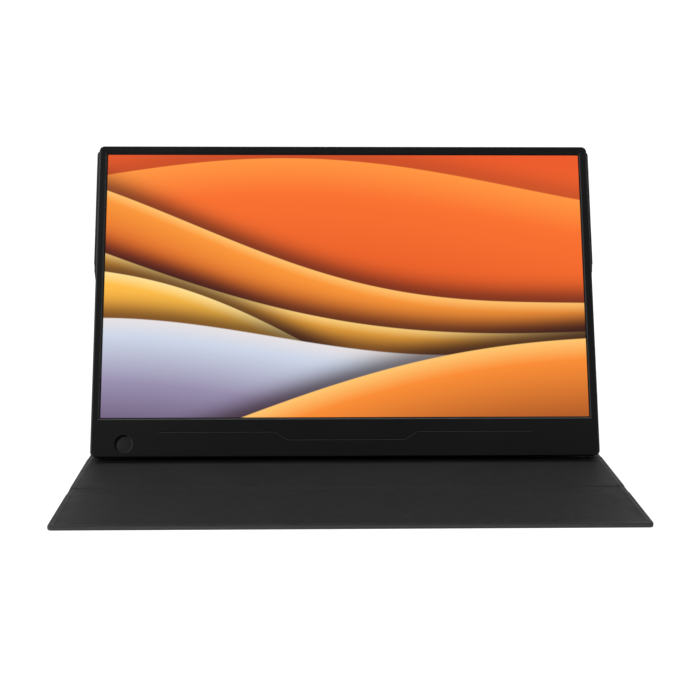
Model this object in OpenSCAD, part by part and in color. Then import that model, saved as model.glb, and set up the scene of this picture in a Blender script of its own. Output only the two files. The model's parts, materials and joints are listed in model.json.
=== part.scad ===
// Portable flat monitor on its folding leather cover, standing open as a desk stand.
// Millimetres, +Z up, X across the screen, -Y towards the viewer.
// The origin is on the table, under the middle of the footprint.

/* [Screen] */
// Width of the lit picture
screen_w = 344.2; // [290:0.1:390]
// Height of the lit picture
screen_h = 193.6; // [165:0.1:220]

/* [Monitor case] */
// Frame beside the picture
side_bezel = 6.05; // [5:0.05:14]
// Frame above the picture
top_bezel = 6.1; // [5:0.05:14]
// Frame below the picture
chin_h = 27.1; // [26:0.1:40]
// Thickness of the closed case
case_t = 9; // [8.6:0.1:14]
// Corner radius of the case, seen from the front
corner_r = 3.8; // [2:0.1:8]
// Rounding of the edge round the back
back_edge_r = 1.3; // [0.5:0.1:1.6]
// Rounding of the edge round the front
front_edge_r = 1.5; // [0.5:0.1:1.6]
// Chamfer round the window in front of the picture
window_edge = 0.7; // [0.3:0.05:0.8]
// Wall thickness of both case halves
wall = 1.2; // [1:0.1:1.5]
// Thickness of the bezel's face
bezel_face = 1; // [0.8:0.1:1.2]
// Depth of the bezel from the front to the parting line
bezel_depth = 2.5; // [2.2:0.1:2.7]
// Angle the case leans back from upright
tilt = 22.2; // [12:0.1:32]

/* [Chin] */
// Diameter of the hole that takes a pen as a prop
pen_hole_d = 12.2; // [8:0.1:13]
// Pen hole centre, in from the left edge of the case
pen_hole_in = 23.1; // [22:0.1:40]
// Pen hole centre, up from the bottom edge of the case
pen_hole_up = 9; // [8.8:0.1:10]
// Chamfer round the front of the pen hole
pen_chamfer = 0.6; // [0.2:0.1:0.8]
// Width of the fine line cut into the chin
line_w = 0.7; // [0.4:0.1:1.2]
// Depth of that line
line_depth = 0.3; // [0.1:0.05:0.5]
// Half length of the whole line
line_half = 131; // [90:1:140]
// Height of its two outer stretches
line_high = 17.3; // [15:0.1:19]
// Height of its middle stretch
line_low = 11.7; // [10:0.1:14]
// Half length of the middle stretch
line_low_half = 40.6; // [20:0.1:60]
// Sideways run of each slanting stretch
line_slant = 9.7; // [5:0.1:20]

/* [Side keys] */
// Spacing of the five keys
key_pitch = 8.25; // [7:0.05:10]
// Height of the lowest key above the bottom edge
key_low = 43.2; // [40:0.1:70]
// Length of a key along the edge
key_len = 5.2; // [4:0.1:6]
// Width of a key across the edge
key_w = 1.8; // [1.4:0.1:2]
// How far a key stands out of the case
key_proud = 0.8; // [0.6:0.1:1.5]
// How far a key travels when pressed
key_travel = 0.4; // [0.2:0.05:0.6]

/* [Sockets] */
// Height of the lower USB-C socket above the bottom edge
usb_low = 44; // [42:0.5:60]
// Spacing from one socket to the next
socket_pitch = 15; // [14:0.5:18]
// Height of the headphone socket above the bottom edge
audio_up = 17.2; // [16.6:0.1:17.4]
// Bore of the headphone socket
audio_d = 3.6; // [3.5:0.05:3.7]
// Depth of the headphone socket's bore
audio_depth = 12; // [11:0.5:13]

/* [Cover] */
// Cover beyond the case at each side
cover_beyond = 2.9; // [1:0.05:6]
// Length of the free flap in front of the front groove
flap_len = 59.5; // [40:0.5:70]
// Length of the panel between the two grooves
middle_len = 65; // [50:0.5:80]
// Width of each groove that takes the monitor's lower edge
groove_w = 14; // [10:0.5:18]
// Depth of each groove below the panels
groove_sink = 0.5; // [0.3:0.1:0.9]
// Length from the back of the case's lower edge to the top fold
fold_up = 138.5; // [125:0.5:150]
// Length of the spine strip
spine_len = 8; // [6:0.5:10]
// Gap between the monitor's top edge and the cover's
top_short = 0.8; // [0:0.1:3]
// Thickness of the leather skin
skin_t = 0.7; // [0.5:0.05:0.8]
// Thickness of the stiffening boards
board_t = 1.4; // [1.2:0.05:1.6]
// Thickness of the lining
lining_t = 0.6; // [0.4:0.05:0.7]
// Width of the skin's turned hem
hem_w = 3.6; // [2.5:0.1:5]
// Radius of the cover's free corners
cover_corner_r = 2; // [1.5:0.5:6]

/* [Hidden] */
$fn = 32;

// small shared values
eps = 0.01;         // overshoot of a cut
seat_gap = 0.1;     // flat faces of two bodies that rest on each other
loose = 0.1;        // clearance round an inner piece
fold_gap = 0.3;     // running clearance at a fold

// case
case_w = screen_w + 2 * side_bezel;
picture_top = chin_h + screen_h;
case_h = picture_top + top_bezel;
cover_w = case_w + 2 * cover_beyond;
inner_half = case_w / 2 - wall;
back_in = case_t - wall;           // depth of the back wall's inner face

// panel stack, as depths from the front face
tape_t = 0.3;
tape_in = 0.3;                     // tape inside the glass edge
tape_clear = 0.4;                  // tape clear of the picture
cell_t = 0.9;
sheets_t = 0.5;
guide_t = 0.8;
reflector_t = 0.2;
chassis_t = 0.4;
cell_border = 2.1;                 // glass beyond the picture, sides and top
cell_ledge = 6.6;                  // glass beyond the picture, bottom
rim_t = 1;                         // chassis rim that the glass rests on
rim_out = 0.6;                     // chassis beyond the glass
led_gap = 2;                       // picture edge to the light guide's lower edge
led_count = 24;
led_size = [3.2, 1.8];             // along the bar and up to the guide
led_strip_w = 0.6;
led_end_gap = 2;                   // bar's ends in from the picture's sides
led_zone = led_size.y + led_strip_w;
d_cell = bezel_face + tape_t;
d_sheets = d_cell + cell_t;
d_guide = d_sheets + sheets_t;
d_reflector = d_guide + guide_t;
d_chassis = d_reflector + reflector_t;
d_panel_back = d_chassis + chassis_t;

// boards
pcb_t = 0.8;
socket_d = case_t - 3.1;           // depth of the sockets' mid-plane
d_main = socket_d - pcb_t / 2;
main_in = 1.15;                    // board's left edge inside the case wall
screw_pad = 4;                     // board screw in from the board's edge
main_size = [105.5, 58];           // along the chin and up
main_left = -inner_half + main_in;
main_right = main_left + main_size.x;
main_low = usb_low - 10;
main_top = main_low + main_size.y;
processor = [18, 18, 0.5];
processor_at = [45, 22];           // from the board's lower left corner
coil = [10, 10, 0.9];
coil_at = [75, 26];
capacitor = [4, 4, 1.1];
capacitor_at = [27, 14];
capacitor_pitch = 6;
capacitor_count = 5;
shield = [26, 26, 1.1];
shield_t = 0.25;
usb_body = [7.3, 8.94, 3.16];      // depth into the case, along the edge, thickness
usb_tongue = [5, 6.7, 0.7];
hdmi_body = [7.5, 11.2, 3.2];
hdmi_tongue = [5, 8, 0.6];
hdmi_cut = 1.1;                    // its two cut corners
socket_bodies = [usb_body, usb_body, hdmi_body];
socket_tongues = [usb_tongue, usb_tongue, hdmi_tongue];
socket_wall = 0.3;
socket_floor = 1;                  // closed inner end
socket_in = 0.3;                   // socket mouth behind the case's side
audio_body = [13, 5.6, 4.8];
audio_nose_r = 2.4;
audio_dd = case_t - 3.8;

// keys
key_dd = case_t - 3.8;
key_count = 5;
switch_len = 4.4;                  // tact switch, along the edge and inwards
switch_t = 1.8;
plunger = 0.8;
plunger_w = 1.6;
plunger_t = 1;
key_flange = 0.7;
key_stem = [2.1, 1.2, 2];          // inwards, through the case's thickness, along the edge
flange_out = 0.5;                  // flange beyond the key's outline
switch_gap = 0.05;                 // key to plunger at full travel
key_slack = 0.15;                  // key to the edge of its slot
d_key_board = key_dd + switch_t / 2;
key_back = inner_half - seat_gap - key_flange - key_stem.x;
plunger_tip = key_back - key_travel - switch_gap;
key_board_end = 8;                 // board beyond the end keys
key_board_in = 7;                  // board inward of the switches
key_board_low = key_low - key_board_end;
key_board_top = key_low + (key_count - 1) * key_pitch + key_board_end;
key_board_left = plunger_tip - plunger - switch_len - key_board_in;

// chin
pen_x = pen_hole_in - case_w / 2;
pen_sleeve_r = pen_hole_d / 2 + 1.2;
speaker = [42, 15, 5];             // along the chin, up, deep
speaker_from_sleeve = 11.45;       // pen sleeve to the speaker beside it
speaker_side = pen_hole_in + pen_sleeve_r + speaker_from_sleeve;
speaker_in = case_w / 2 - speaker_side - speaker.x;
speaker_up = 3;
speaker_frame = 1.6;
cone_depth = 1.6;
cone_slope = 3;                    // cone's floor inside its rim
dust_cap = [16, 3, 0.9];           // long, wide, proud of the cone's floor
slot_w = 1.2;
slot_len = 9;
slot_count = 7;
slot_pitch = 4.6;
screw_up = 5;
screw_side = 9.8;                  // outer screws in from the case's sides
screw_from_speaker = 5;            // inner screws in from the speakers
screw_out = case_w / 2 - screw_side;
screw_mid = speaker_in - screw_from_speaker;
screw_xs = [-screw_out, -screw_mid, 0, screw_mid, screw_out];
screw_r = 0.7;
screw_head_r = 1.7;
screw_head_t = 1;
board_head_t = 0.6;
board_screw_len = 2;
boss_r = 2.2;
pilot_slack = 0.05;
panel_board_half = speaker_in - 8;
panel_chip = [12, 5, 0.9];
panel_chip_up = 1.5;
flex_count = 4;
flex_w = 30;
flex_on_board = 4;                 // film's lower end up from the board's
flex_on_glass = 0.9;
panel_board_low = 9.5;
panel_board_h = 9.4;
d_panel_board = d_sheets + 0.2;
flex_t = 0.2;
ribbon_t = 0.3;
ribbon_w = 12;
ribbon_in = 2;                     // display cable in from the main board's end
ribbon_lap = 5;                    // its lap on each board
key_cable_w = 6;

// magnets
magnet_w = 24;
magnet_h = 8;
magnet_t = 1.2;
magnet_pad = 1;                    // pad beyond a magnet
magnets_low = 10;                  // lower rows above the back panel's lower edge
magnets_high = 16;                 // upper rows below its upper edge
magnet_side = 40;                  // outer magnets in from the case's sides
magnet_pitch = 91.9;
magnet_out = case_w / 2 - magnet_side;
case_magnet_xs = [-magnet_out, magnet_pitch - magnet_out, magnet_out - magnet_pitch, magnet_out];

// cover
panel_t = 2 * skin_t + board_t;                    // hemmed edge, the full thickness
lined_t = skin_t + board_t + lining_t;             // over a board, inside the hem
strip_t = 2 * skin_t;                              // in a crease, where only leather is
groove_fill = board_t - groove_sink;               // soft backing in a groove, one with the skin
groove_t = strip_t + groove_fill;
ramp = board_t;                                    // slope at a board's edge
fold_end = 1.6;                                    // fold axis to a panel's end
roll_r = 1.2;                                      // leather roll round a fold axis
axis_out = seat_gap + panel_t / 2;                 // top fold axis behind the case
edge_z = panel_t + seat_gap;                       // case's back lower edge over the table
lean = tilt + atan(axis_out / fold_up);            // slope of the leg
leg_len = sqrt(pow(fold_up, 2) + pow(axis_out, 2));
strip_end = 2;                                     // front fold axis to the fixed strip
bead_in = 0.05;                                    // fold's round edge inside the strip's faces
lip_in = 0.3;                                      // case edge behind the groove's front lip

// along the table, with 0 at the case's back lower edge
y_seat = -lip_in;                                  // seat groove's front lip
y_middle = y_seat - middle_len;                    // front groove's rear lip
y_flap = y_middle - groove_w;                      // front groove's front lip
y_front = y_flap - flap_len;                       // free edge
y_front_fold = y_middle - groove_w / 2;            // front fold axis
y_rear_fold = 2 * leg_len * sin(lean);             // rear fold axis
y_spine = y_rear_fold - (roll_r + fold_gap) * sqrt(2) - spine_len;
spine_gap = 2 * ramp + 0.4;                        // crease between rear board and spine
y_rear = y_rear_fold + roll_r;
y_mid = (y_front + y_rear) / 2;                    // middle of the footprint
front_fold_z = groove_t / 2;

middle_span = [y_middle, y_seat];
rear_span = [y_seat + groove_w, y_spine - spine_gap];
spine_span = [y_spine, y_spine + spine_len];
flap_span = [y_front, y_flap];
back_low = fold_up + fold_end;
back_top = case_h - top_short;

// colours
c_case = [0.09, 0.09, 0.095];
c_keys = [0.12, 0.12, 0.125];
c_glass = [0.9, 0.45, 0.15];
c_skin = [0.16, 0.16, 0.165];
c_lining = [0.2, 0.2, 0.205];
c_board = [0.5, 0.42, 0.3];
c_metal = [0.7, 0.7, 0.72];
c_pcb = [0.05, 0.3, 0.12];
c_film = [0.9, 0.9, 0.92];
c_flex = [0.75, 0.45, 0.15];

// ---------- frames ----------

// Cover lying on the table: y is measured from the case's back lower edge
module on_table() translate([0, -y_mid, 0]) children();

// Case frame: y out of its back, z up its back, x across
module on_case() on_table() translate([0, 0, edge_z]) rotate([-tilt, 0, 0]) children();

// Leg frame: origin on the rear fold axis, z up the leg, y out of its back
module on_leg() on_table() translate([0, y_rear_fold, edge_z]) rotate([lean, 0, 0]) children();

// A flat panel drawn lying down is stood up with its skin at y = out
module stood(out) translate([0, out, 0]) rotate([90, 0, 0]) children();

// ---------- plain shapes ----------

// Rectangle centred on x = 0, with one corner radius at each end
module round_rect(w, low, high, r_low, r_high) {
    translate([-w / 2, low + r_low]) square([w, high - low - r_low - r_high]);
    translate([-w / 2 + r_low, low]) square([w - 2 * r_low, r_low + eps]);
    translate([-w / 2 + r_high, high - r_high - eps]) square([w - 2 * r_high, r_high + eps]);
    for (side = [-1, 1]) {
        if (r_low > 0) translate([side * (w / 2 - r_low), low + r_low]) circle(r_low);
        if (r_high > 0) translate([side * (w / 2 - r_high), high - r_high]) circle(r_high);
    }
}

// Slot shape along x
module pill(length, width) {
    square([length - width, width], center = true);
    for (side = [-1, 1]) translate([side * (length - width) / 2, 0]) circle(width / 2);
}

// Straight stroke between two points
module stroke(a, b, width) {
    run = b - a;
    translate(a) rotate(atan2(run.y, run.x)) {
        translate([0, -width / 2]) square([norm(run), width]);
        circle(width / 2);
        translate([norm(run), 0]) circle(width / 2);
    }
}

// Extrudes an x-height drawing of the case from depth d0 to d1
module at_depth(d0, d1) translate([0, d1 - case_t, 0]) rotate([90, 0, 0])
    linear_extrude(d1 - d0) children();

// Block in the case: x range, height range, depth range
module block(xs, hs, ds) translate([xs[0], ds[0] - case_t, hs[0]])
    cube([xs[1] - xs[0], ds[1] - ds[0], hs[1] - hs[0]]);

function about(middle, width) = [middle - width / 2, middle + width / 2];

// Round rod through the case's thickness
module rod_at(x, h, r, d0, d1) translate([x, d1 - case_t, h]) rotate([90, 0, 0])
    cylinder(r = r, h = d1 - d0);

// Case outline, drawn in by a margin
module outline(inset) round_rect(case_w - 2 * inset, inset, case_h - inset,
    max(corner_r - inset, 0.3), max(corner_r - inset, 0.3));

// Slab of the case's outline from a flat side to a side whose edge is rounded, as depths
module slab(flat, round, r) hull() for (a = [0 : 15 : 90]) {
    d = round - sign(round - flat) * r * (1 - sin(a));
    at_depth(min(flat, d), max(flat, d)) outline(r * (1 - cos(a)));
}

// A profile of depths and heights, drawn out along x
module along_x(x0, x1) translate([x0, -case_t, 0]) rotate([90, 0, 90])
    linear_extrude(x1 - x0) children();

// Picture rectangle, grown by borders at the sides and top, and at the bottom
module picture(side, bottom) translate([-screen_w / 2 - side, chin_h - bottom])
    square([screen_w + 2 * side, screen_h + side + bottom]);

// ---------- monitor case ----------

module chin_line() {
    for (s = [-1, 1]) {
        high = line_low_half + line_slant;
        stroke([s * line_half, line_high], [s * high, line_high], line_w);
        stroke([s * high, line_high], [s * line_low_half, line_low], line_w);
    }
    stroke([-line_low_half, line_low], [line_low_half, line_low], line_w);
}

tongue_t = 0.5;      // bezel tongue inside the shell's wall
tongue_h = 1;
clip_len = 8;
clip_h = 1.6;
clip_nose = 0.8;     // sloped nose at a clip's end, its length and how far it hooks in
clip_hook = 0.3;
clip_count = 6;
clip_side = 20;      // outer clips in from the picture's sides
clip_base = bezel_depth + tongue_h;
clip_in = case_h - wall - loose;
clip_half = screen_w / 2 - clip_side;
clip_xs = [for (i = [0 : clip_count - 1]) clip_half * (2 * i / (clip_count - 1) - 1)];
locator_t = 1.2;     // ribs that locate the panel inside the bezel
locator_gap = 10;
locator_in = cell_border + rim_out + loose;        // beyond the picture
locator_out = side_bezel - wall - loose - tongue_t + eps;
locator_top = top_bezel - wall - loose - tongue_t + eps;
locator_hs = [key_board_top + locator_gap, picture_top - locator_gap];
notch_gap = 0.6;
notch_in = 2;        // notch's inner end inside the wall
boss_floor = 1;

// Profile of a clip, with its hooked nose grown by a clearance
module clip_nose_profile(grow) polygon([[clip_base + clip_h - clip_nose - grow, clip_in - eps],
    [clip_base + clip_h - clip_nose - grow, clip_in + loose + clip_hook + grow],
    [clip_base + clip_h + grow, clip_in + grow], [clip_base + clip_h + grow, clip_in - eps]]);

module clip_profile() {
    translate([clip_base - eps, clip_in - tongue_t]) square([clip_h + eps, tongue_t]);
    clip_nose_profile(0);
}

module front_bezel() color(c_case) on_case() {
    difference() {
        slab(bezel_depth, 0, front_edge_r);
        at_depth(-eps, bezel_face + eps) picture(0, 0);
        hull() {
            at_depth(-eps, 0) picture(window_edge, window_edge);
            at_depth(window_edge, window_edge + eps) picture(0, 0);
        }
        at_depth(bezel_face, case_t) outline(wall);
        at_depth(-eps, line_depth) chin_line();
        rod_at(pen_x, pen_hole_up, pen_hole_d / 2, -eps, bezel_depth);
        translate([pen_x, -case_t - eps, pen_hole_up]) rotate([-90, 0, 0])
            cylinder(r1 = pen_hole_d / 2 + pen_chamfer, r2 = pen_hole_d / 2, h = pen_chamfer);
    }
    difference() {
        at_depth(bezel_face - eps, clip_base) outline(wall + loose);
        at_depth(bezel_face - 2 * eps, case_t) outline(wall + loose + tongue_t);
        // notch that lets the headphone socket through
        block([-case_w / 2, -inner_half + notch_in], [audio_up - audio_nose_r - notch_gap,
            audio_up + audio_nose_r + notch_gap], [bezel_depth, case_t]);
    }
    // clips that hook into the shell's top wall
    for (x = clip_xs) along_x(x - clip_len / 2, x + clip_len / 2) clip_profile();
    // locating ribs at the panel's sides, and at its top between the clips
    for (s = [-1, 1], h = locator_hs)
        block(about(s * (screen_w / 2 + (locator_in + locator_out) / 2), locator_out - locator_in),
            about(h, locator_t), [bezel_face - eps, d_panel_back]);
    for (i = [1 : clip_count - 1])
        block(about((clip_xs[i - 1] + clip_xs[i]) / 2, locator_t),
            [picture_top + locator_in, picture_top + locator_top], [bezel_face - eps, d_panel_back]);
    // screw bosses in the chin
    for (x = screw_xs) difference() {
        rod_at(x, screw_up, boss_r, bezel_face - eps, back_in);
        rod_at(x, screw_up, screw_r + pilot_slack, bezel_face + boss_floor, case_t);
    }
}

rib_t = 1;
rib_gap = 8;
rib_pitch = 32;
rib_ds = [back_in - 1, back_in + eps];

module key_slots() for (i = [0 : key_count - 1])
    translate([inner_half - eps, key_dd - case_t, key_low + i * key_pitch]) rotate([0, 90, 0])
        linear_extrude(wall + 2 * eps) pill(key_len + 2 * key_slack, key_w + 2 * key_slack);

function socket_up(i) = usb_low + i * socket_pitch;

// Mouth of socket i, counted from the lowest: round ends, or two cut corners for mini HDMI
module mouth(i, grow) {
    size = [socket_bodies[i].y, socket_bodies[i].z] / 2 + [grow, grow];
    if (i < 2) pill(2 * size.x, 2 * size.y);
    else polygon([[-size.x, -size.y], [size.x, -size.y], [size.x, size.y - hdmi_cut],
        [size.x - hdmi_cut, size.y], [hdmi_cut - size.x, size.y], [-size.x, size.y - hdmi_cut]]);
}

module at_socket(i, out) translate([-case_w / 2 - out, socket_d - case_t, socket_up(i)])
    rotate([0, 90, 0]) children();

module speaker_slots() for (s = [-1, 1], i = [0 : slot_count - 1])
    translate([s * (speaker_in + speaker.x / 2) + (i - (slot_count - 1) / 2) * slot_pitch,
            eps, speaker_up + speaker.y / 2])
        rotate([90, 90, 0]) linear_extrude(wall + 2 * eps) pill(slot_len, slot_w);

// Block round a magnet of the case, grown by a border
module magnet_bed(x, h, grow, ds) block([x - magnet_w / 2 - grow, x + magnet_w / 2 + grow],
    [h - magnet_h / 2 - grow, h + magnet_h / 2 + grow], ds);

module rear_shell() color(c_case) on_case() difference() {
    union() {
        difference() {
            slab(bezel_depth, case_t, back_edge_r);
            at_depth(bezel_depth - eps, back_in) outline(wall);
        }
        // sleeve round the pen hole
        rod_at(pen_x, pen_hole_up, pen_sleeve_r, bezel_face, back_in + eps);
        // ribs that stiffen the back, behind the panel
        for (x = [main_right + rib_gap : rib_pitch : key_board_left - rib_gap])
            block([x - rib_t / 2, x + rib_t / 2], [chin_h, case_h - rib_gap], rib_ds);
        for (h = [main_top + rib_gap : rib_pitch : case_h - rib_gap])
            block([-inner_half + rib_gap, inner_half - rib_gap], [h - rib_t / 2, h + rib_t / 2],
                rib_ds);
        // stand-offs under both circuit boards
        for (p = main_screws) rod_at(p.x, p.y, boss_r, d_main + pcb_t, back_in + eps);
        for (p = key_screws) rod_at(p.x, p.y, boss_r, d_key_board + pcb_t, back_in + eps);
        // pads that the magnets lie on
        for (x = case_magnet_xs, h = case_magnet_hs)
            magnet_bed(x, h, magnet_pad, [back_in - magnet_t, back_in + eps]);
    }
    rod_at(pen_x, pen_hole_up, pen_hole_d / 2, 0, case_t + eps);
    for (x = case_magnet_xs, h = case_magnet_hs) magnet_bed(x, h, loose, [0, back_in]);
    for (x = clip_xs) along_x(x - clip_len / 2 - loose, x + clip_len / 2 + loose)
        clip_nose_profile(loose);
    for (x = screw_xs) {
        rod_at(x, screw_up, screw_r + pilot_slack, back_in - eps, case_t + eps);
        translate([x, -screw_head_t, screw_up]) rotate([-90, 0, 0])
            cylinder(r1 = screw_r + pilot_slack, r2 = screw_head_r + pilot_slack,
                h = screw_head_t);
    }
    for (p = concat(main_screws, key_screws)) rod_at(p.x, p.y, screw_r + pilot_slack, d_main, back_in);
    key_slots();
    for (i = [0 : 2]) at_socket(i, eps) linear_extrude(wall + 2 * eps) mouth(i, loose);
    translate([-case_w / 2 - eps, audio_dd - case_t, audio_up]) rotate([0, 90, 0])
        cylinder(r = audio_nose_r + loose, h = wall + 2 * eps);
    speaker_slots();
}

// ---------- display panel ----------

module window_tape() color([0.1, 0.1, 0.1]) on_case() at_depth(bezel_face, d_cell) difference() {
    picture(cell_border - tape_in, cell_border - tape_in);
    picture(tape_clear, tape_clear);
}

module lcd_cell() color(c_glass) on_case() at_depth(d_cell, d_sheets) picture(cell_border, cell_ledge);

module optical_sheets() color(c_film) on_case()
    at_depth(d_sheets, d_guide) picture(cell_border - rim_t - loose + rim_out, led_gap);

module light_guide() color([0.85, 0.95, 0.95]) on_case()
    at_depth(d_guide, d_reflector) picture(cell_border - rim_t - loose + rim_out, led_gap);

module reflector() color("white") on_case()
    at_depth(d_reflector, d_chassis) picture(cell_border - rim_t - loose + rim_out, led_gap + led_zone);

module led_bar() color([0.95, 0.9, 0.6]) on_case() {
    high = chin_h - led_gap;
    half = screen_w / 2 - led_end_gap;
    block([-half, half], [high - led_zone, high - led_size.y], [d_guide, d_reflector]);
    for (i = [0 : led_count - 1]) {
        x = half * ((2 * i + 1) / led_count - 1);
        block([x - led_size.x / 2, x + led_size.x / 2], [high - led_size.y - eps, high],
            [d_guide + loose, d_reflector]);
    }
}

module panel_chassis() color(c_metal) on_case() difference() {
    at_depth(d_sheets, d_panel_back) picture(cell_border + rim_out, cell_ledge - rim_t);
    at_depth(d_sheets - eps, d_chassis) picture(cell_border + rim_out - rim_t, cell_ledge - 2 * rim_t);
}

module panel_board() color(c_pcb) on_case() {
    block([-panel_board_half, panel_board_half], [panel_board_low, panel_board_low + panel_board_h],
        [d_panel_board, d_panel_board + pcb_t]);
    for (i = [-1 : 1]) {
        x = i * panel_board_half / 2;
        low = panel_board_low + panel_chip_up;
        block([x - panel_chip.x / 2, x + panel_chip.x / 2], [low, low + panel_chip.y],
            [d_panel_board + pcb_t - eps, d_panel_board + pcb_t + panel_chip.z]);
    }
}

module panel_flex() color(c_flex) on_case() for (i = [0 : flex_count - 1]) {
    x = (2 * i + 1 - flex_count) * panel_board_half / flex_count;
    block([x - flex_w / 2, x + flex_w / 2],
        [panel_board_low + flex_on_board, chin_h - cell_ledge + flex_on_glass],
        [d_panel_board - flex_t, d_panel_board]);
}

// ---------- circuit boards and what they carry ----------

// Something on the main board, at a place from its lower left corner
module on_main(at, size, d) block([main_left + at.x, main_left + at.x + size.x],
    [main_low + at.y, main_low + at.y + size.y], [d, d + size.z]);

// Board screws stand clear of the sockets, and the lower right one of the display cable
main_screw_left = main_left + usb_body.x + screw_pad;
main_screws = [[main_screw_left, main_low + boss_r + loose],
    [main_right - screw_pad, main_low + ribbon_lap + screw_pad + boss_r],
    [main_screw_left, main_top - screw_pad], [main_right - screw_pad, main_top - screw_pad]];
key_screws = [for (h = [key_board_low + screw_pad, key_board_top - screw_pad])
    [key_board_left + screw_pad, h]];
case_magnet_hs = [back_low + magnets_low, back_top - magnets_high];

module main_board() color(c_pcb) on_case() difference() {
    union() {
        block([main_left, main_right], [main_low, main_top], [d_main, d_main + pcb_t]);
        on_main(processor_at, processor, d_main + pcb_t - eps);
        on_main(coil_at, coil, d_main - coil.z + eps);
        for (i = [0 : capacitor_count - 1])
            on_main(capacitor_at + [0, i * capacitor_pitch], capacitor, d_main - capacitor.z + eps);
    }
    for (i = [0 : 2]) socket_hole(socket_bodies[i], socket_up(i));
    for (p = main_screws) rod_at(p.x, p.y, screw_r + pilot_slack, d_main - eps, case_t);
}

module socket_hole(size, h) block([main_left - eps, -case_w / 2 + socket_in + size.x + loose],
    [h - size.y / 2 - loose, h + size.y / 2 + loose], [0, case_t]);

module board_shield() color(c_metal) on_case() difference() {
    at = processor_at - ([shield.x, shield.y] - [processor.x, processor.y]) / 2;
    on_main(at, shield, d_main + pcb_t);
    on_main(at + [shield_t, shield_t], shield - [2, 2, 1] * shield_t, d_main + pcb_t - eps);
}

module display_cable() color(c_flex) on_case() {
    xs = [main_right - ribbon_in - ribbon_w, main_right - ribbon_in];
    low = panel_board_low + ribbon_in;
    block(xs, [low, main_low + ribbon_lap], [d_main - ribbon_t, d_main]);
    block(xs, [low, low + ribbon_t], [d_panel_board + pcb_t, d_main]);
}

module key_board() color(c_pcb) on_case() difference() {
    block([key_board_left, plunger_tip - plunger], [key_board_low, key_board_top],
        [d_key_board, d_key_board + pcb_t]);
    for (p = key_screws) rod_at(p.x, p.y, screw_r + pilot_slack, d_key_board - eps, case_t);
}

module key_switches() color([0.2, 0.2, 0.2]) on_case() for (i = [0 : key_count - 1]) {
    h = key_low + i * key_pitch;
    right = plunger_tip - plunger;
    block([right - switch_len, right], [h - switch_len / 2, h + switch_len / 2],
        [key_dd - switch_t / 2, key_dd + switch_t / 2]);
    block([right - eps, plunger_tip], [h - plunger_w / 2, h + plunger_w / 2],
        [key_dd - plunger_t / 2, key_dd + plunger_t / 2]);
}

module key_cable() color(c_film) on_case() {
    low = main_low + (main_size.y - key_cable_w) / 2;
    hs = [low, low + key_cable_w];
    left = main_right - ribbon_lap;
    right = key_board_left + ribbon_t;
    block([left, right], hs, [d_panel_back, d_panel_back + ribbon_t]);
    block([left - ribbon_t, left + eps], hs, [d_panel_back, d_main]);
    block([right - eps, right + ribbon_t], hs, [d_panel_back, d_key_board]);
}

// Metal socket with an open mouth to the left and a tongue inside
module socket(i) color(c_metal) on_case() {
    body = socket_bodies[i];
    tongue = socket_tongues[i];
    at_socket(i, -socket_in) difference() {
        linear_extrude(body.x) mouth(i, 0);
        translate([0, 0, -eps]) linear_extrude(body.x - socket_floor + eps) mouth(i, -socket_wall);
    }
    at_socket(i, -socket_in) translate([-tongue.y / 2, -tongue.z / 2, body.x - socket_floor - tongue.x])
        cube([tongue.y, tongue.z, tongue.x + eps]);
}

module usb_c_port_lower() socket(0);
module usb_c_port_upper() socket(1);
module mini_hdmi_port() socket(2);

module audio_jack() color([0.15, 0.15, 0.15]) on_case()
    translate([-case_w / 2 + socket_in, audio_dd - case_t, audio_up]) rotate([0, 90, 0]) difference() {
        union() {
            cylinder(r = audio_nose_r, h = wall + loose);
            translate([-audio_body.y / 2, -audio_body.z / 2, wall])
                cube([audio_body.y, audio_body.z, audio_body.x]);
        }
        translate([0, 0, -eps]) cylinder(d = audio_d, h = audio_depth);
    }

// Flat speaker with an oval cone that faces the slots in the back
module speaker_box(side) color([0.12, 0.12, 0.13]) on_case() {
    x = side * (speaker_in + speaker.x / 2);
    rim = [speaker.x, speaker.y] - 2 * [speaker_frame, speaker_frame];
    difference() {
        block([x - speaker.x / 2, x + speaker.x / 2], [speaker_up, speaker_up + speaker.y],
            [back_in - speaker.z, back_in]);
        hull() {
            oval(x, rim, [back_in, back_in + eps]);
            oval(x, rim - 2 * [cone_slope, cone_slope], [back_in - cone_depth, back_in]);
        }
    }
    oval(x, dust_cap, [back_in - cone_depth - eps, back_in - cone_depth + dust_cap.z]);
}

module oval(x, size, ds) at_depth(ds[0], ds[1]) translate([x, speaker_up + speaker.y / 2])
    pill(size.x, size.y);

module left_speaker() speaker_box(-1);
module right_speaker() speaker_box(1);

module shell_magnets() color(c_metal) on_case() for (x = case_magnet_xs, h = case_magnet_hs)
    block([x - magnet_w / 2, x + magnet_w / 2], [h - magnet_h / 2, h + magnet_h / 2],
        [back_in - magnet_t, back_in]);

module case_screws() color("silver") on_case() for (x = screw_xs) {
    rod_at(x, screw_up, screw_r, bezel_face + 2 * boss_floor, case_t - screw_head_t + eps);
    translate([x, -screw_head_t, screw_up]) rotate([-90, 0, 0])
        cylinder(r1 = screw_r, r2 = screw_head_r - loose, h = screw_head_t - loose);
}

module board_screw(p, d) {
    rod_at(p.x, p.y, screw_head_r, d - board_head_t, d);
    rod_at(p.x, p.y, screw_r, d - eps, min(d + board_screw_len, back_in));
}

module board_screws() color("silver") on_case() {
    for (p = main_screws) board_screw(p, d_main);
    for (p = key_screws) board_screw(p, d_key_board);
}

// ---------- side keys ----------

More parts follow.
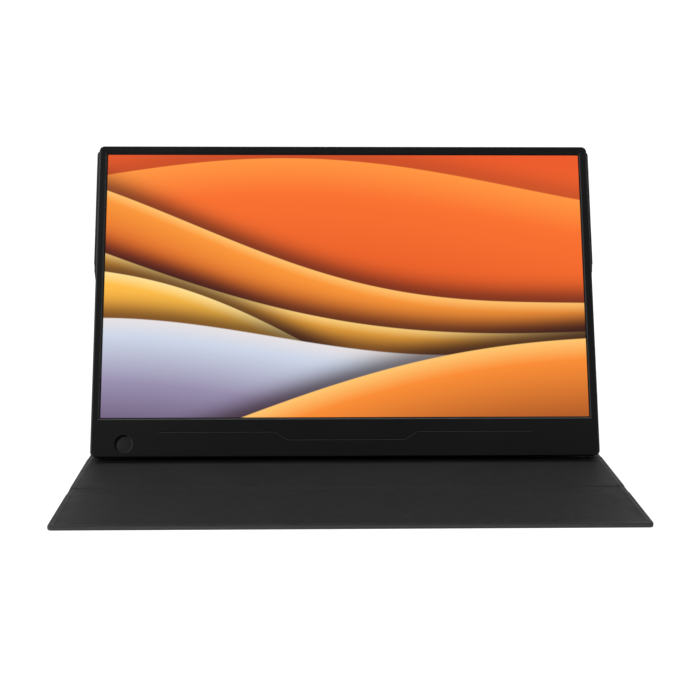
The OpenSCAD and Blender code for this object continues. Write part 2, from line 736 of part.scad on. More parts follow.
module side_key(i) color(c_keys) on_case()
    translate([0, key_dd - case_t, key_low + i * key_pitch]) {
        translate([inner_half - seat_gap, 0, 0]) rotate([0, 90, 0])
            linear_extrude(wall + seat_gap + key_proud) pill(key_len, key_w);
        translate([inner_half - seat_gap - key_flange, 0, 0]) rotate([0, 90, 0])
            linear_extrude(key_flange + eps) pill(key_len + 2 * flange_out, key_w + 2 * flange_out);
        translate([key_back, -key_stem.y / 2, -key_stem.z / 2]) cube(key_stem + [eps, 0, 0]);
    }

module input_key() side_key(0);
module minus_key() side_key(1);
module plus_key() side_key(2);
module menu_key() side_key(3);
module power_key() side_key(4);

// ---------- cover ----------

// Height line over boards: high over each, down a slope to low beside it. fills = what the
// leather's backing adds to low before the first board, between the boards and after the last.
function over_boards(spans, fills, low, high) = [for (i = [0 : len(spans) - 1])
    each [[spans[i][0] - ramp, low + fills[i]], [spans[i][0], high], [spans[i][1], high],
        [spans[i][1] + ramp, low + fills[i + 1]]]];

// Everything above that line, from y0 to y1, between two x values
module above_line(spans, fills, low, high, y0, y1, xs) {
    line = over_boards(spans, fills, low, high);
    inner = [for (p = line) if (p.x > y0 && p.x < y1) p];
    top = 2 * panel_t;
    translate([xs[0], 0, 0]) rotate([90, 0, 90]) linear_extrude(xs[1] - xs[0])
        polygon(concat([[y0, lookup(y0, line)]], inner, [[y1, lookup(y1, line)], [y1, top], [y0, top]]));
}

// Plan of a board between two places, drawn in by a margin; free ends have round corners
module board_plan(span, inset, free) round_rect(cover_w - 2 * inset, span[0] + inset, span[1] - inset,
    free[0] ? max(cover_corner_r - inset, 0) : 0, free[1] ? max(cover_corner_r - inset, 0) : 0);

// Boards of a panel, in the skin's pockets
module boards(spans, free) for (s = spans)
    translate([0, 0, skin_t]) linear_extrude(board_t) board_plan(s, skin_t + loose, free);

// Leather skin: outer sheet, edges and turned hem. free = [front, rear] edges with a hem.
module skin(spans, fills, y0, y1, free) {
    difference() {
        linear_extrude(panel_t) round_rect(cover_w, y0, y1,
            free[0] ? cover_corner_r : 0, free[1] ? cover_corner_r : 0);
        for (s = spans)
            translate([0, 0, skin_t]) linear_extrude(board_t) board_plan(s, skin_t, free);
        above_line(spans, fills, skin_t, skin_t + board_t, lined(y0, free[0], 1),
            lined(y1, free[1], -1), [-cover_w / 2 + hem_w, cover_w / 2 - hem_w]);
        above_line(spans, fills, strip_t, panel_t, y0 - eps, y1 + eps,
            [-cover_w / 2 - eps, cover_w / 2 + eps]);
    }
}

// Where the lining stops at an end: inside the hem on a free edge, past the end on a fold
function lined(y, is_free, way) = is_free ? y + way * hem_w : y - way * eps;

// Lining, glued to the boards and down into the grooves
module lining(spans, fills, y0, y1, free) {
    a = y0 + (free[0] ? hem_w + loose : 0);
    b = y1 - (free[1] ? hem_w + loose : 0);
    xs = [-cover_w / 2 + hem_w + loose, cover_w / 2 - hem_w - loose];
    difference() {
        above_line(spans, fills, skin_t, skin_t + board_t, a, b, xs);
        above_line(spans, fills, skin_t + lining_t, lined_t, a - eps, b + eps, [xs[0] - eps, xs[1] + eps]);
    }
}

base_spans = [middle_span, rear_span, spine_span];
base_fills = [groove_fill, groove_fill, 0, 0];
flap_fills = [0, groove_fill];
no_fills = [0, 0];
at_fold = [false, false];
free_front = [true, false];
free_top = [false, true];
base_y0 = y_front_fold + strip_end;
leg_span = [fold_end, leg_len - fold_end];
back_span = [back_low, back_top];

module base_skin() color(c_skin) on_table() skin(base_spans, base_fills, base_y0, y_rear, at_fold);
module base_lining() color(c_lining) on_table()
    lining(base_spans, base_fills, base_y0, y_rear, at_fold);
module middle_board() color(c_board) on_table() boards([middle_span], at_fold);
module rear_board() color(c_board) on_table() boards([rear_span], at_fold);
module spine_board() color(c_board) on_table() boards([spine_span], at_fold);

// The flap's skin ends in a round edge on the fold axis
module flap_skin() color(c_skin) on_table() {
    skin([flap_span], flap_fills, y_front, y_front_fold, free_front);
    translate([-cover_w / 2, y_front_fold, front_fold_z]) rotate([0, 90, 0])
        cylinder(r = front_fold_z - bead_in, h = cover_w);
}
module flap_lining() color(c_lining) on_table()
    lining([flap_span], flap_fills, y_front, y_front_fold - front_fold_z, free_front);

flap_magnet_y = y_front + hem_w + magnet_h;

// The cover's magnets face those in the case
module magnet_row(y, grow) for (x = case_magnet_xs)
    translate([x - magnet_w / 2 - grow, y - magnet_h / 2 - grow, skin_t + board_t - magnet_t])
        cube([magnet_w + 2 * grow, magnet_h + 2 * grow, magnet_t + (grow > 0 ? eps : 0)]);

module flap_board() color(c_board) on_table() difference() {
    boards([flap_span], free_front);
    magnet_row(flap_magnet_y, loose);
}
module flap_magnets() color(c_metal) on_table() magnet_row(flap_magnet_y, 0);

module leg_skin() color(c_skin) on_leg() stood(panel_t / 2)
    skin([leg_span], no_fills, leg_span[0], leg_span[1], at_fold);
module leg_board() color(c_board) on_leg() stood(panel_t / 2) boards([leg_span], at_fold);
module leg_lining() color(c_lining) on_leg() stood(panel_t / 2)
    lining([leg_span], no_fills, leg_span[0], leg_span[1], at_fold);

// Roll of leather round a fold axis, with the web that joins it to the leg's end
module fold_roll(z, way) color(c_skin) on_leg() translate([-cover_w / 2, 0, z]) {
    rotate([0, 90, 0]) cylinder(r = roll_r, h = cover_w);
    translate([0, -skin_t, way > 0 ? 0 : -fold_end]) cube([cover_w, 2 * skin_t, fold_end]);
}
module rear_fold_roll() fold_roll(0, 1);
module apex_fold() fold_roll(leg_len, -1);

module back_panel_skin() color(c_skin) on_case() stood(seat_gap + panel_t)
    skin([back_span], no_fills, back_low, back_top, free_top);
module back_panel_lining() color(c_lining) on_case() stood(seat_gap + panel_t)
    lining([back_span], no_fills, back_low, back_top, free_top);
module back_panel_board() color(c_board) on_case() stood(seat_gap + panel_t) difference() {
    boards([back_span], free_top);
    for (h = case_magnet_hs) magnet_row(h, loose);
}
module back_panel_magnets() color(c_metal) on_case() stood(seat_gap + panel_t)
    for (h = case_magnet_hs) magnet_row(h, 0);

// ---------- drawing ----------

front_bezel();
rear_shell();
window_tape();
lcd_cell();
optical_sheets();
light_guide();
reflector();
led_bar();
panel_chassis();
panel_board();
panel_flex();
main_board();
board_shield();
display_cable();
key_board();
key_switches();
key_cable();
usb_c_port_lower();
usb_c_port_upper();
mini_hdmi_port();
audio_jack();
left_speaker();
right_speaker();
shell_magnets();
case_screws();
board_screws();
power_key();
menu_key();
plus_key();
minus_key();
input_key();
back_panel_skin();
back_panel_board();
back_panel_lining();
back_panel_magnets();
leg_skin();
leg_board();
leg_lining();
apex_fold();
rear_fold_roll();
base_skin();
base_lining();
rear_board();
middle_board();
spine_board();
flap_skin();
flap_board();
flap_lining();
flap_magnets();
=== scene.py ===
"""Looks of a flat portable monitor that stands open in its folding leather cover.

Every piece is drawn in millimetres in one of these frames, then put in its place in metres:
  TABLE  x across, y back from the case's lower back edge, z up from the table
  CASE   x across, y out of the case's back, z up the case, from its lower back edge
  LEG    x across, y out of the leg's back, z up the leg, from the rear fold
  and two lying frames, where a cover panel is drawn flat with its leather side down.
"""
import json
import math
from dataclasses import dataclass

import bmesh
import bpy
from mathutils import Matrix, Vector


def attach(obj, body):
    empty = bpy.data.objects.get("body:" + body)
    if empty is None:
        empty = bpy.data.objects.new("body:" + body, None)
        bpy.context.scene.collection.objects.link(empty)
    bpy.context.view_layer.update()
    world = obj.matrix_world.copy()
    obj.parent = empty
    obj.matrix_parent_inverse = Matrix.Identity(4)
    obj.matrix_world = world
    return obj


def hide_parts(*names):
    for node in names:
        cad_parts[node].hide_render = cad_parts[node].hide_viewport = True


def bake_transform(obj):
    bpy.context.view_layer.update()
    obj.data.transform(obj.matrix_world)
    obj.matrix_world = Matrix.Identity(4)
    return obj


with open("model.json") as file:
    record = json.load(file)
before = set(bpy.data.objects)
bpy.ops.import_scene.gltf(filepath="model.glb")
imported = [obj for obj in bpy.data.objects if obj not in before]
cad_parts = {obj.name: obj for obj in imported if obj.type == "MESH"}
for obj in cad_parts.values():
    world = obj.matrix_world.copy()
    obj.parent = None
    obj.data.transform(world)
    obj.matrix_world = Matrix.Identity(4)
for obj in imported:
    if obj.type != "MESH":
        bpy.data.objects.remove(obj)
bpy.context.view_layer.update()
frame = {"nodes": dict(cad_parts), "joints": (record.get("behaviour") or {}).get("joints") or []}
bpy.ops.object.select_all(action="DESELECT")

MM = 0.001
ACROSS, BACK, UP = 0, 1, 2

# ---------- folds, tilt and lean, from the joints ----------

JOINTS = {joint["name"]: joint for joint in frame["joints"]}
rear_fold = Vector(JOINTS["leg_tilt"]["pos_m"]) / MM
top_fold = Vector(JOINTS["apex_fold_turn"]["pos_m"]) / MM
case_edge = Vector((0, 2 * top_fold.y - rear_fold.y, rear_fold.z))
slide = Vector(JOINTS["monitor_release"]["axis"])
tilt = math.atan2(slide.z, -slide.y)
lean = math.atan2(rear_fold.y - top_fold.y, top_fold.z - rear_fold.z)
leg_length = (top_fold - rear_fold).length

# ---------- sizes, in millimetres ----------

# cover
SKIN_T = 0.7          # leather
BOARD_T = 1.4         # stiffening boards
LINING_T = 0.6
PANEL_T = 2 * SKIN_T + BOARD_T
STRIP_T = 2 * SKIN_T  # in a crease, where only leather is
GROOVE_FILL = 0.9     # soft backing in the front groove and in the one that the case stands in
SEAT_LIP = 0.55       # height of the lining's soft ridge in front of the groove for the case
SEAT_LIP_W = 1.6      # from the ridge to its foot
HEM_W = 3.6
HEM_GAP = 0.1         # hem to lining, and round the boards
HEM_EDGE_R = 0.22
LINING_EDGE_R = 0.18
SEAT_GAP = 0.1        # case to the panel behind it, keys' flanges to the case
CORNER_R = 2.8        # the cover's free corners
RIM_R = 0.6           # roundness of the cover's edges
CREASE_R = 0.6
CREASE_DIP = 0.25     # how far a rounded crease may lie under its corner
BOARD_EDGE = 0.8      # board's edge to where the leather starts to slope
FOLD_END = 1.6        # fold to the end of a panel
REAR_FOLD_R = 1.55
TOP_FOLD_R = 1.6
FOLD_ROWS = 16        # rows of faces round a fold

# case
WINDOW_LOW = 26.8     # bottom of the window, up from the case's lower edge
WINDOW_W = 344.8
WINDOW_H = 194.2
WINDOW_EDGE = 0.9     # chamfer round the window
WINDOW_EDGE_R = 0.12  # roundness of the chamfer's outer edge
BEZEL_DEPTH = 2.5
BEZEL_FACE = 1.0
WALL = 1.2
CASE_CORNER_R = 3.8
FRONT_EDGE_R = 1.5
PEN_HOLE_R = 6.1
PEN_HOLE_EDGE_R = 0.5
PEN_HOLE_IN = 23.1    # its middle, in from the case's left side
PEN_HOLE_UP = 9.0
CHIN_LINE = [(-131, 17.3), (-50.3, 17.3), (-40.6, 11.7), (40.6, 11.7), (50.3, 17.3), (131, 17.3)]
CHIN_LINE_W = 0.7
KEY_L = 5.2
KEY_W = 1.8
KEY_EDGE_R = 0.35
KEY_FLANGE_T = 0.7
KEY_FLANGE_OUT = 0.5  # flange beyond the cap's outline
KEY_STEM = 0.5        # stem's size as a share of the flange's

# modelling, with angles in radians
CUT_PAST = 1.0        # how far a cutter reaches past what it cuts
NEAR = 0.01           # what lies closer than this is in place
LYING = 0.3           # a face whose normal rises or falls more than this counts as lying
SIDEWAYS = 0.9        # and one whose normal goes across more than this as a side
SMOOTH_BELOW = math.radians(35)
CREASE_ABOVE = math.radians(8)

# wear and painted highlights, where 1 is wholly pale
PALING = "wear_and_highlight"         # the faces' value that holds it
RIM_PALE_W = 0.4      # how far in from the cover's rim the leather is paled, in millimetres
RIM_PALE_LOW = 1.5    # at the cover's lower edge, fading inwards: painted light bounced up from the floor, over the rubbing
RIM_PALE_TOP = 0.4    # at its upper edge
SIDE_WEAR = 0.95      # folds' side faces
WINDOW_HIGHLIGHT = 0.4     # painted highlight on the window's chamfer at its sides
WINDOW_HIGHLIGHT_UP = 0.9  # painted highlight: more on its lower side, which faces up to the light, and less on its upper side
# painted highlight on the upward wall of the line across the chin
CHIN_LINE_HIGHLIGHT = 0.7
EDGE_WEAR = 0.25      # other edges of the bezel
SLANTING = (-0.98, -0.15)  # how far a face of the bezel looks out of the front where it is paled by wear and painted highlights

# ---------- frames ----------

TABLE = Matrix.Translation((0, case_edge.y, 0))
CASE = Matrix.Translation(case_edge) @ Matrix.Rotation(-tilt, 4, "X")
LEG = Matrix.Translation(rear_fold) @ Matrix.Rotation(lean, 4, "X")
UPRIGHT = Matrix.Rotation(math.radians(90), 4, "X")
LEG_LYING = LEG @ Matrix.Translation((0, PANEL_T / 2, 0)) @ UPRIGHT
BACK_LYING = CASE @ Matrix.Translation((0, SEAT_GAP + PANEL_T, 0)) @ UPRIGHT


def local_box(node, place):
    """Lowest and highest corner of a CAD node in one of the frames, in millimetres."""
    inverse = place.inverted() @ Matrix.Scale(1 / MM, 4)
    points = [inverse @ corner.co for corner in frame["nodes"][node].data.vertices]
    low = Vector([min(point[axis] for point in points) for axis in range(3)])
    high = Vector([max(point[axis] for point in points) for axis in range(3)])
    return low, high


def board_span(node, place):
    """Where a board lies along its panel."""
    low, high = local_box(node, place)
    return low.y - BOARD_EDGE, high.y + BOARD_EDGE


COVER_W = 2 * local_box("base_skin", TABLE)[1].x
CASE_LOW, CASE_HIGH = local_box("front_bezel", CASE)
CASE_W = 2 * CASE_HIGH.x
CASE_H = CASE_HIGH.z
CASE_T = -CASE_LOW.y
PEN_HOLE = Vector((PEN_HOLE_IN - CASE_W / 2, 0, PEN_HOLE_UP))

# ---------- modelling by hand ----------


def activate(piece):
    """Makes a piece the only one that the next operator works on."""
    bpy.ops.object.select_all(action="DESELECT")
    piece.select_set(True)
    bpy.context.view_layer.objects.active = piece


def named(name):
    """Gives the piece that was just added its name, with its size in its mesh."""
    piece = bpy.context.object
    piece.name = name
    piece.data.name = name
    bpy.ops.object.transform_apply(location=True, rotation=True, scale=True)
    return piece


def block(name, low, high):
    """A box between two corners, ready to be shaped."""
    low, high = Vector(low), Vector(high)
    bpy.ops.mesh.primitive_cube_add(size=1, location=(low + high) / 2)
    bpy.context.object.scale = high - low
    return named(name)


def round_bar(name, centre, radius, length):
    """A round bar from front to back, centred on a point."""
    bpy.ops.mesh.primitive_cylinder_add(vertices=96, radius=radius, depth=length, location=centre,
                                        rotation=(math.radians(-90), 0, 0))
    return named(name)


def edit(piece):
    """Opens a piece in edit mode, until done()."""
    activate(piece)
    bpy.ops.object.mode_set(mode="EDIT")


def done():
    bpy.ops.object.mode_set(mode="OBJECT")


def choose(piece, kind, test):
    """Selects, in edit mode, only the corners, edges or faces that pass the test."""
    bpy.ops.mesh.select_mode(type=kind)
    bpy.ops.mesh.select_all(action="DESELECT")
    mesh = bmesh.from_edit_mesh(piece.data)
    mesh.normal_update()
    for part in {"VERT": mesh.verts, "EDGE": mesh.edges, "FACE": mesh.faces}[kind]:
        if test(part):
            part.select_set(True)
    mesh.select_flush_mode()
    bmesh.update_edit_mesh(piece.data)


def lies(part, axis, place):
    """Whether an edge or face lies in the plane at that place on an axis."""
    return all(abs(corner.co[axis] - place) < NEAR for corner in part.verts)


def runs(edge, axis):
    """Whether an edge runs along an axis."""
    way = edge.verts[1].co - edge.verts[0].co
    return way.length > 0 and abs(way[axis]) > 0.999 * way.length


def round_off(piece, test, radius, segments):
    """Rounds the edges that pass the test, or chamfers them if there is one segment."""
    edit(piece)
    choose(piece, "EDGE", test)
    bpy.ops.mesh.bevel(offset=radius, segments=segments, affect="EDGES", clamp_overlap=False)
    done()


def slice_at(piece, axis, places):
    """Cuts a piece's faces, without parting them, at places along an axis."""
    edit(piece)
    normal = Vector((0, 0, 0))
    normal[axis] = 1
    for place in places:
        bpy.ops.mesh.select_all(action="SELECT")
        bpy.ops.mesh.bisect(plane_co=normal * place, plane_no=normal)
    done()


def move_corners(piece, test, by):
    """Moves the corners that pass the test."""
    edit(piece)
    choose(piece, "VERT", test)
    bpy.ops.transform.translate(value=by)
    done()


def cut_away(piece, *cutters):
    """Cuts the cutters' shapes out of a piece and removes the cutters."""
    for cutter in cutters:
        activate(piece)
        cut = piece.modifiers.new("cut", "BOOLEAN")
        cut.operation = "DIFFERENCE"
        cut.solver = "EXACT"
        cut.object = cutter
        bpy.ops.object.modifier_apply(modifier=cut.name)
        bpy.data.objects.remove(cutter)


def copied(piece, name, by):
    """A copy with its own mesh, moved."""
    twin = piece.copy()
    twin.data = piece.data.copy()
    twin.name = name
    bpy.context.collection.objects.link(twin)
    twin.data.transform(Matrix.Translation(by))
    return twin


def facing_out(piece):
    """Joins corners that meet and turns every face outwards."""
    edit(piece)
    bpy.ops.mesh.select_all(action="SELECT")
    bpy.ops.mesh.remove_doubles(threshold=NEAR / 10)
    bpy.ops.mesh.normals_make_consistent(inside=False)
    done()


def mark_wear_and_highlights(piece, amount):
    """Writes how far each face is paled, from 0 to 1, by wear and by painted highlights, for its
    finish to read.
    """
    paled = piece.data.attributes.new(PALING, "FLOAT", "FACE")
    for face, value in zip(piece.data.polygons, paled.data):
        value.value = amount(face.center, face.normal)


def fitted(piece, place, slot, body=None, stands_for=()):
    """Puts a drawn piece in its place, smooths it, and gives it its finish and its body."""
    piece.data.transform(Matrix.Scale(MM, 4) @ place)
    activate(piece)
    bpy.ops.object.shade_smooth_by_angle(angle=SMOOTH_BELOW)
    even = piece.modifiers.new("even shading", "WEIGHTED_NORMAL")
    even.keep_sharp = True
    bpy.ops.object.modifier_apply(modifier=even.name)
    piece.data.materials.clear()
    piece.data.materials.append(FINISHES[slot])
    if stands_for:
        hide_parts(*stands_for)
    if body:
        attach(piece, body)
    return piece


# ---------- shader helpers ----------


def add_node(tree, kind, settings=None, **inputs):
    """A shader node with its settings, and with a value or a link for each input named."""
    made = tree.nodes.new("ShaderNode" + kind)
    for key, value in (settings or {}).items():
        setattr(made, key, value)
    for key, value in inputs.items():
        feed(tree, made.inputs[key.replace("_", " ")], value)
    return made


def feed(tree, socket, value):
    """Links an output to a socket, or sets the socket to a value."""
    if isinstance(value, bpy.types.NodeSocket):
        tree.links.new(value, socket)
    else:
        socket.default_value = value


def maths(tree, operation, *values, clamp=False):
    made = add_node(tree, "Math", {"operation": operation, "use_clamp": clamp})
    for socket, value in zip(made.inputs, values):
        feed(tree, socket, value)
    return made.outputs[0]


def times(tree, one, other):
    return maths(tree, "MULTIPLY", one, other)


def plus(tree, one, other):
    return maths(tree, "ADD", one, other)


def mixed(tree, factor, first, second):
    """A colour between two colours. The node's first sockets are for numbers and vectors."""
    made = add_node(tree, "Mix", {"data_type": "RGBA"})
    for index, value in ((0, factor), (6, first), (7, second)):
        feed(tree, made.inputs[index], value)
    return made.outputs[2]


def ranged(tree, value, low, high, to_low=0.0, to_high=1.0, smooth=False):
    """A value's place between low and high, kept within another range."""
    made = add_node(tree, "MapRange", {"interpolation_type": "SMOOTHSTEP" if smooth else "LINEAR"},
                    Value=value, From_Min=low, From_Max=high, To_Min=to_low, To_Max=to_high)
    return made.outputs[0]


def noise(tree, where, scale, detail=2.0, roughness=0.5):
    return add_node(tree, "TexNoise", Vector=where, Scale=scale, Detail=detail,
                    Roughness=roughness).outputs[0]


def ramp(tree, factor, stops):
    """A colour read from a row of places and colours."""
    made = add_node(tree, "ValToRGB", Fac=factor)
    marks = made.color_ramp.elements
    while len(marks) < len(stops):
        marks.new(0.5)
    for mark, (place, colour) in zip(marks, stops):
        mark.position = place
        mark.color = colour
    return made.outputs[0]


def srgb(red, green, blue):
    """A screen colour of 0 to 255 as the light it stands for."""
    light = [(c / 255) / 12.92 if c < 11 else ((c / 255 + 0.055) / 1.055) ** 2.4
             for c in (red, green, blue)]
    return (*light, 1.0)


def group(name, inputs, outputs):
    """An empty shader node group with its named sockets."""
    tree = bpy.data.node_groups.new(name, "ShaderNodeTree")
    for label, kind, value in inputs:
        socket = tree.interface.new_socket(label, in_out="INPUT", socket_type="NodeSocket" + kind)
        if value is not None:
            socket.default_value = value
    for label, kind in outputs:
        tree.interface.new_socket(label, in_out="OUTPUT", socket_type="NodeSocket" + kind)
    return tree, tree.nodes.new("NodeGroupInput"), tree.nodes.new("NodeGroupOutput")


def leather_grain():
    """Fine pebbled grain with soft handling creases and patchy tone."""
    tree, enter, leave = group(
        "leather_grain",
        [("Vector", "Vector", None), ("Pebble", "Float", 1300.0), ("Crease", "Float", 0.5)],
        [("Height", "Float"), ("Tone", "Float"), ("Shine", "Float"), ("Wave", "Float")])
    where = enter.outputs["Vector"]
    wander = add_node(tree, "TexNoise", Vector=where, Scale=400.0, Detail=2.0)
    shift = add_node(tree, "VectorMath", {"operation": "SCALE"}, Vector=wander.outputs["Color"],
                     Scale=0.0008)
    bent = add_node(tree, "VectorMath", {"operation": "ADD"})
    feed(tree, bent.inputs[0], where)
    feed(tree, bent.inputs[1], shift.outputs[0])
    cells = add_node(tree, "TexVoronoi", {"feature": "DISTANCE_TO_EDGE"},
                     Vector=bent.outputs[0], Scale=enter.outputs["Pebble"])
    pebbles = ranged(tree, cells.outputs["Distance"], 0.0, 0.3, smooth=True)
    pores = noise(tree, where, 5200.0, 3.0)
    folds = noise(tree, where, 160.0, 4.0, 0.6)
    crease = times(tree, ranged(tree, folds, 0.35, 0.6), enter.outputs["Crease"])
    height = plus(tree, times(tree, pebbles, 0.6), plus(tree, times(tree, pores, 0.15), crease))
    patches = noise(tree, where, 22.0, 3.0, 0.55)
    tone = plus(tree, times(tree, patches, 0.7), times(tree, pebbles, 0.3))
    tree.links.new(height, leave.inputs["Height"])
    tree.links.new(tone, leave.inputs["Tone"])
    tree.links.new(times(tree, folds, patches), leave.inputs["Shine"])
    tree.links.new(noise(tree, where, 26.0, 2.0, 0.4), leave.inputs["Wave"])
    return tree


def moulded_texture():
    """Spark-eroded surface of an injection mould, with faint flow marks."""
    tree, enter, leave = group(
        "moulded_texture", [("Vector", "Vector", None), ("Grit", "Float", 3200.0)],
        [("Height", "Float"), ("Tone", "Float")])
    where = enter.outputs["Vector"]
    grit = noise(tree, where, enter.outputs["Grit"], 3.0, 0.6)
    flow = noise(tree, where, 18.0, 2.0)
    tree.links.new(grit, leave.inputs["Height"])
    tone = plus(tree, times(tree, grit, 0.5), times(tree, flow, 0.5))
    tree.links.new(tone, leave.inputs["Tone"])
    return tree


def worn_and_highlit_edges():
    """Faces marked as paled by wear and by painted highlights, unevenly along them."""
    tree, enter, leave = group(
        "worn_and_highlit_edges", [("Vector", "Vector", None), ("Worn", "Float", 0.0)], [("Mask", "Float")])
    uneven = ranged(tree, noise(tree, enter.outputs["Vector"], 90.0, 3.0), 0.3, 0.7, 0.8, 1.0)
    tree.links.new(maths(tree, "MULTIPLY", enter.outputs["Worn"], uneven, clamp=True),
                   leave.inputs["Mask"])
    return tree


def settled_dust():
    """Sparse specks of dust and lint."""
    tree, enter, leave = group(
        "settled_dust", [("Vector", "Vector", None), ("Amount", "Float", 0.3)], [("Mask", "Float")])
    where = enter.outputs["Vector"]
    specks = add_node(tree, "TexVoronoi", Vector=where, Scale=420.0)
    near = ranged(tree, specks.outputs["Distance"], 0.09, 0.03)
    few = ranged(tree, noise(tree, where, 60.0, 2.0), 0.56, 0.62)
    mask = times(tree, times(tree, near, few), enter.outputs["Amount"])
    tree.links.new(mask, leave.inputs["Mask"])
    return tree


GRAIN = leather_grain()
MOULDED = moulded_texture()
WORN_AND_HIGHLIT = worn_and_highlit_edges()
DUST = settled_dust()

# ---------- finishes ----------

DUST_GREY = (0.16, 0.155, 0.15, 1)
LEATHER_DUST = 0.25
PLASTIC_DUST = 0.1
# colours that marked faces pale to, for wear and for painted highlights and bounce light
LEATHER_PALED = (0.06, 0.06, 0.061, 1)
PLASTIC_PALED = (0.06, 0.06, 0.062, 1)

# heights of relief, in metres
GRAIN_HEIGHT = 0.00012
WAVE_HEIGHT = 0.0012   # the leather's soft waviness
GRIT_HEIGHT = 0.00004
TRACK_HEIGHT = 0.00004
FINE_HEIGHT = 0.00003  # lines in metal, fibres in film

# where the painted shadow darkens the lining under the case's overhang, in millimetres
DARK_FRONT = (-15.5, -9.5)  # from where the dark starts to where it is full, from the case's edge
DARK_BACK = 12              # where it ends behind that edge
DARK_SIDE = (1, 8)          # from where it starts to where it is full, in from the case's sides
DARK_TOP = 3.6              # over the table
DARKNESS = 0.86


def material(name, **constants):
    """A material whose even values stand on the shader's own sockets."""
    made = bpy.data.materials.new(name)
    made.use_nodes = True
    tree = made.node_tree
    shader = tree.nodes["Principled BSDF"]
    for key, value in constants.items():
        shader.inputs[key.replace("_", " ")].default_value = value
    return made, tree, shader, add_node(tree, "TexCoord").outputs["Object"]


def placed(tree, tree_group, **inputs):
    """A node group placed in a material, with that material's own values."""
    return add_node(tree, "Group", {"node_tree": tree_group}, **inputs).outputs


def bumped(tree, shader, height, strength, distance, under=None):
    """Gives a shader a fine relief, over a coarser one where there is one under it."""
    bump = add_node(tree, "Bump", Height=height, Strength=strength, Distance=distance)
    if under is not None:
        feed(tree, bump.inputs["Normal"], under)
    tree.links.new(bump.outputs[0], shader.inputs["Normal"])


def paled_by_wear_and_highlights(tree, where, colour, pale):
    """Pales a colour where mark_wear_and_highlights marked the faces, for wear and for painted
    highlights.
    """
    paled = add_node(tree, "Attribute", {"attribute_name": PALING}).outputs["Fac"]
    return mixed(tree, placed(tree, WORN_AND_HIGHLIT, Vector=where, Worn=paled)["Mask"], colour, pale)


def painted_overhang_shadow(tree, where, colour):
    """Paints the case's shadow on the lining under its overhang, as deep black."""
    axes = add_node(tree, "SeparateXYZ", Vector=where)
    start_y, full_y, end_y = ((case_edge.y + y) * MM for y in (*DARK_FRONT, DARK_BACK))
    start_x, full_x = ((CASE_W / 2 - x) * MM for x in DARK_SIDE)
    front = ranged(tree, axes.outputs["Y"], start_y, full_y, smooth=True)
    rear = maths(tree, "LESS_THAN", axes.outputs["Y"], end_y)
    side = ranged(tree, maths(tree, "ABSOLUTE", axes.outputs["X"]), start_x, full_x, smooth=True)
    low = maths(tree, "LESS_THAN", axes.outputs["Z"], DARK_TOP * MM)
    mask = times(tree, times(tree, front, rear), times(tree, side, low))
    return mixed(tree, times(tree, mask, DARKNESS), colour, (0.0, 0.0, 0.0, 1))


def leather(name, dark, light, pebble, crease, rough, painted_case_shadow=False):
    """Grained leather, a little wavy, paled at its edges by wear and by painted bounce light, and
    dusty; it can carry a painted shadow under the case.
    """
    made, tree, shader, where = material(name, Specular_IOR_Level=0.12)
    grain = placed(tree, GRAIN, Vector=where, Pebble=pebble, Crease=crease)
    specks = placed(tree, DUST, Vector=where, Amount=LEATHER_DUST)["Mask"]
    hide = paled_by_wear_and_highlights(tree, where, mixed(tree, grain["Tone"], dark, light), LEATHER_PALED)
    hide = mixed(tree, specks, hide, DUST_GREY)
    # painted shadow of the case on the lining under its overhang
    if painted_case_shadow:
        hide = painted_overhang_shadow(tree, where, hide)
    tree.links.new(hide, shader.inputs["Base Color"])
    tree.links.new(ranged(tree, grain["Shine"], 0.1, 0.5, *rough), shader.inputs["Roughness"])
    waves = add_node(tree, "Bump", Height=grain["Wave"], Strength=1.0, Distance=WAVE_HEIGHT)
    bumped(tree, shader, grain["Height"], 0.5, GRAIN_HEIGHT, waves.outputs[0])
    return made


def plastic(name, dark, light, rough, grit=3200.0, specular=0.25):
    """Moulded plastic with a fine matt grit, paled at marked edges by wear and by painted
    highlights, and slightly dusty.
    """
    made, tree, shader, where = material(name, Specular_IOR_Level=specular)
    texture = placed(tree, MOULDED, Vector=where, Grit=grit)
    specks = placed(tree, DUST, Vector=where, Amount=PLASTIC_DUST)["Mask"]
    body = paled_by_wear_and_highlights(tree, where, mixed(tree, texture["Tone"], dark, light), PLASTIC_PALED)
    tree.links.new(mixed(tree, specks, body, DUST_GREY), shader.inputs["Base Color"])
    tree.links.new(ranged(tree, texture["Tone"], 0.3, 0.7, *rough), shader.inputs["Roughness"])
    bumped(tree, shader, texture["Height"], 0.25, GRIT_HEIGHT)
    return made


def steel(name, dark, light, rough):
    """Rolled or stamped metal with fine lines along x."""
    made, tree, shader, where = material(name, Metallic=1.0)
    drawn = add_node(tree, "Mapping", Vector=where, Scale=(60.0, 2600.0, 2600.0))
    lines = noise(tree, drawn.outputs[0], 1.0, 3.0)
    tree.links.new(mixed(tree, lines, dark, light), shader.inputs["Base Color"])
    tree.links.new(ranged(tree, lines, 0.3, 0.7, *rough), shader.inputs["Roughness"])
    bumped(tree, shader, lines, 0.15, FINE_HEIGHT)
    return made


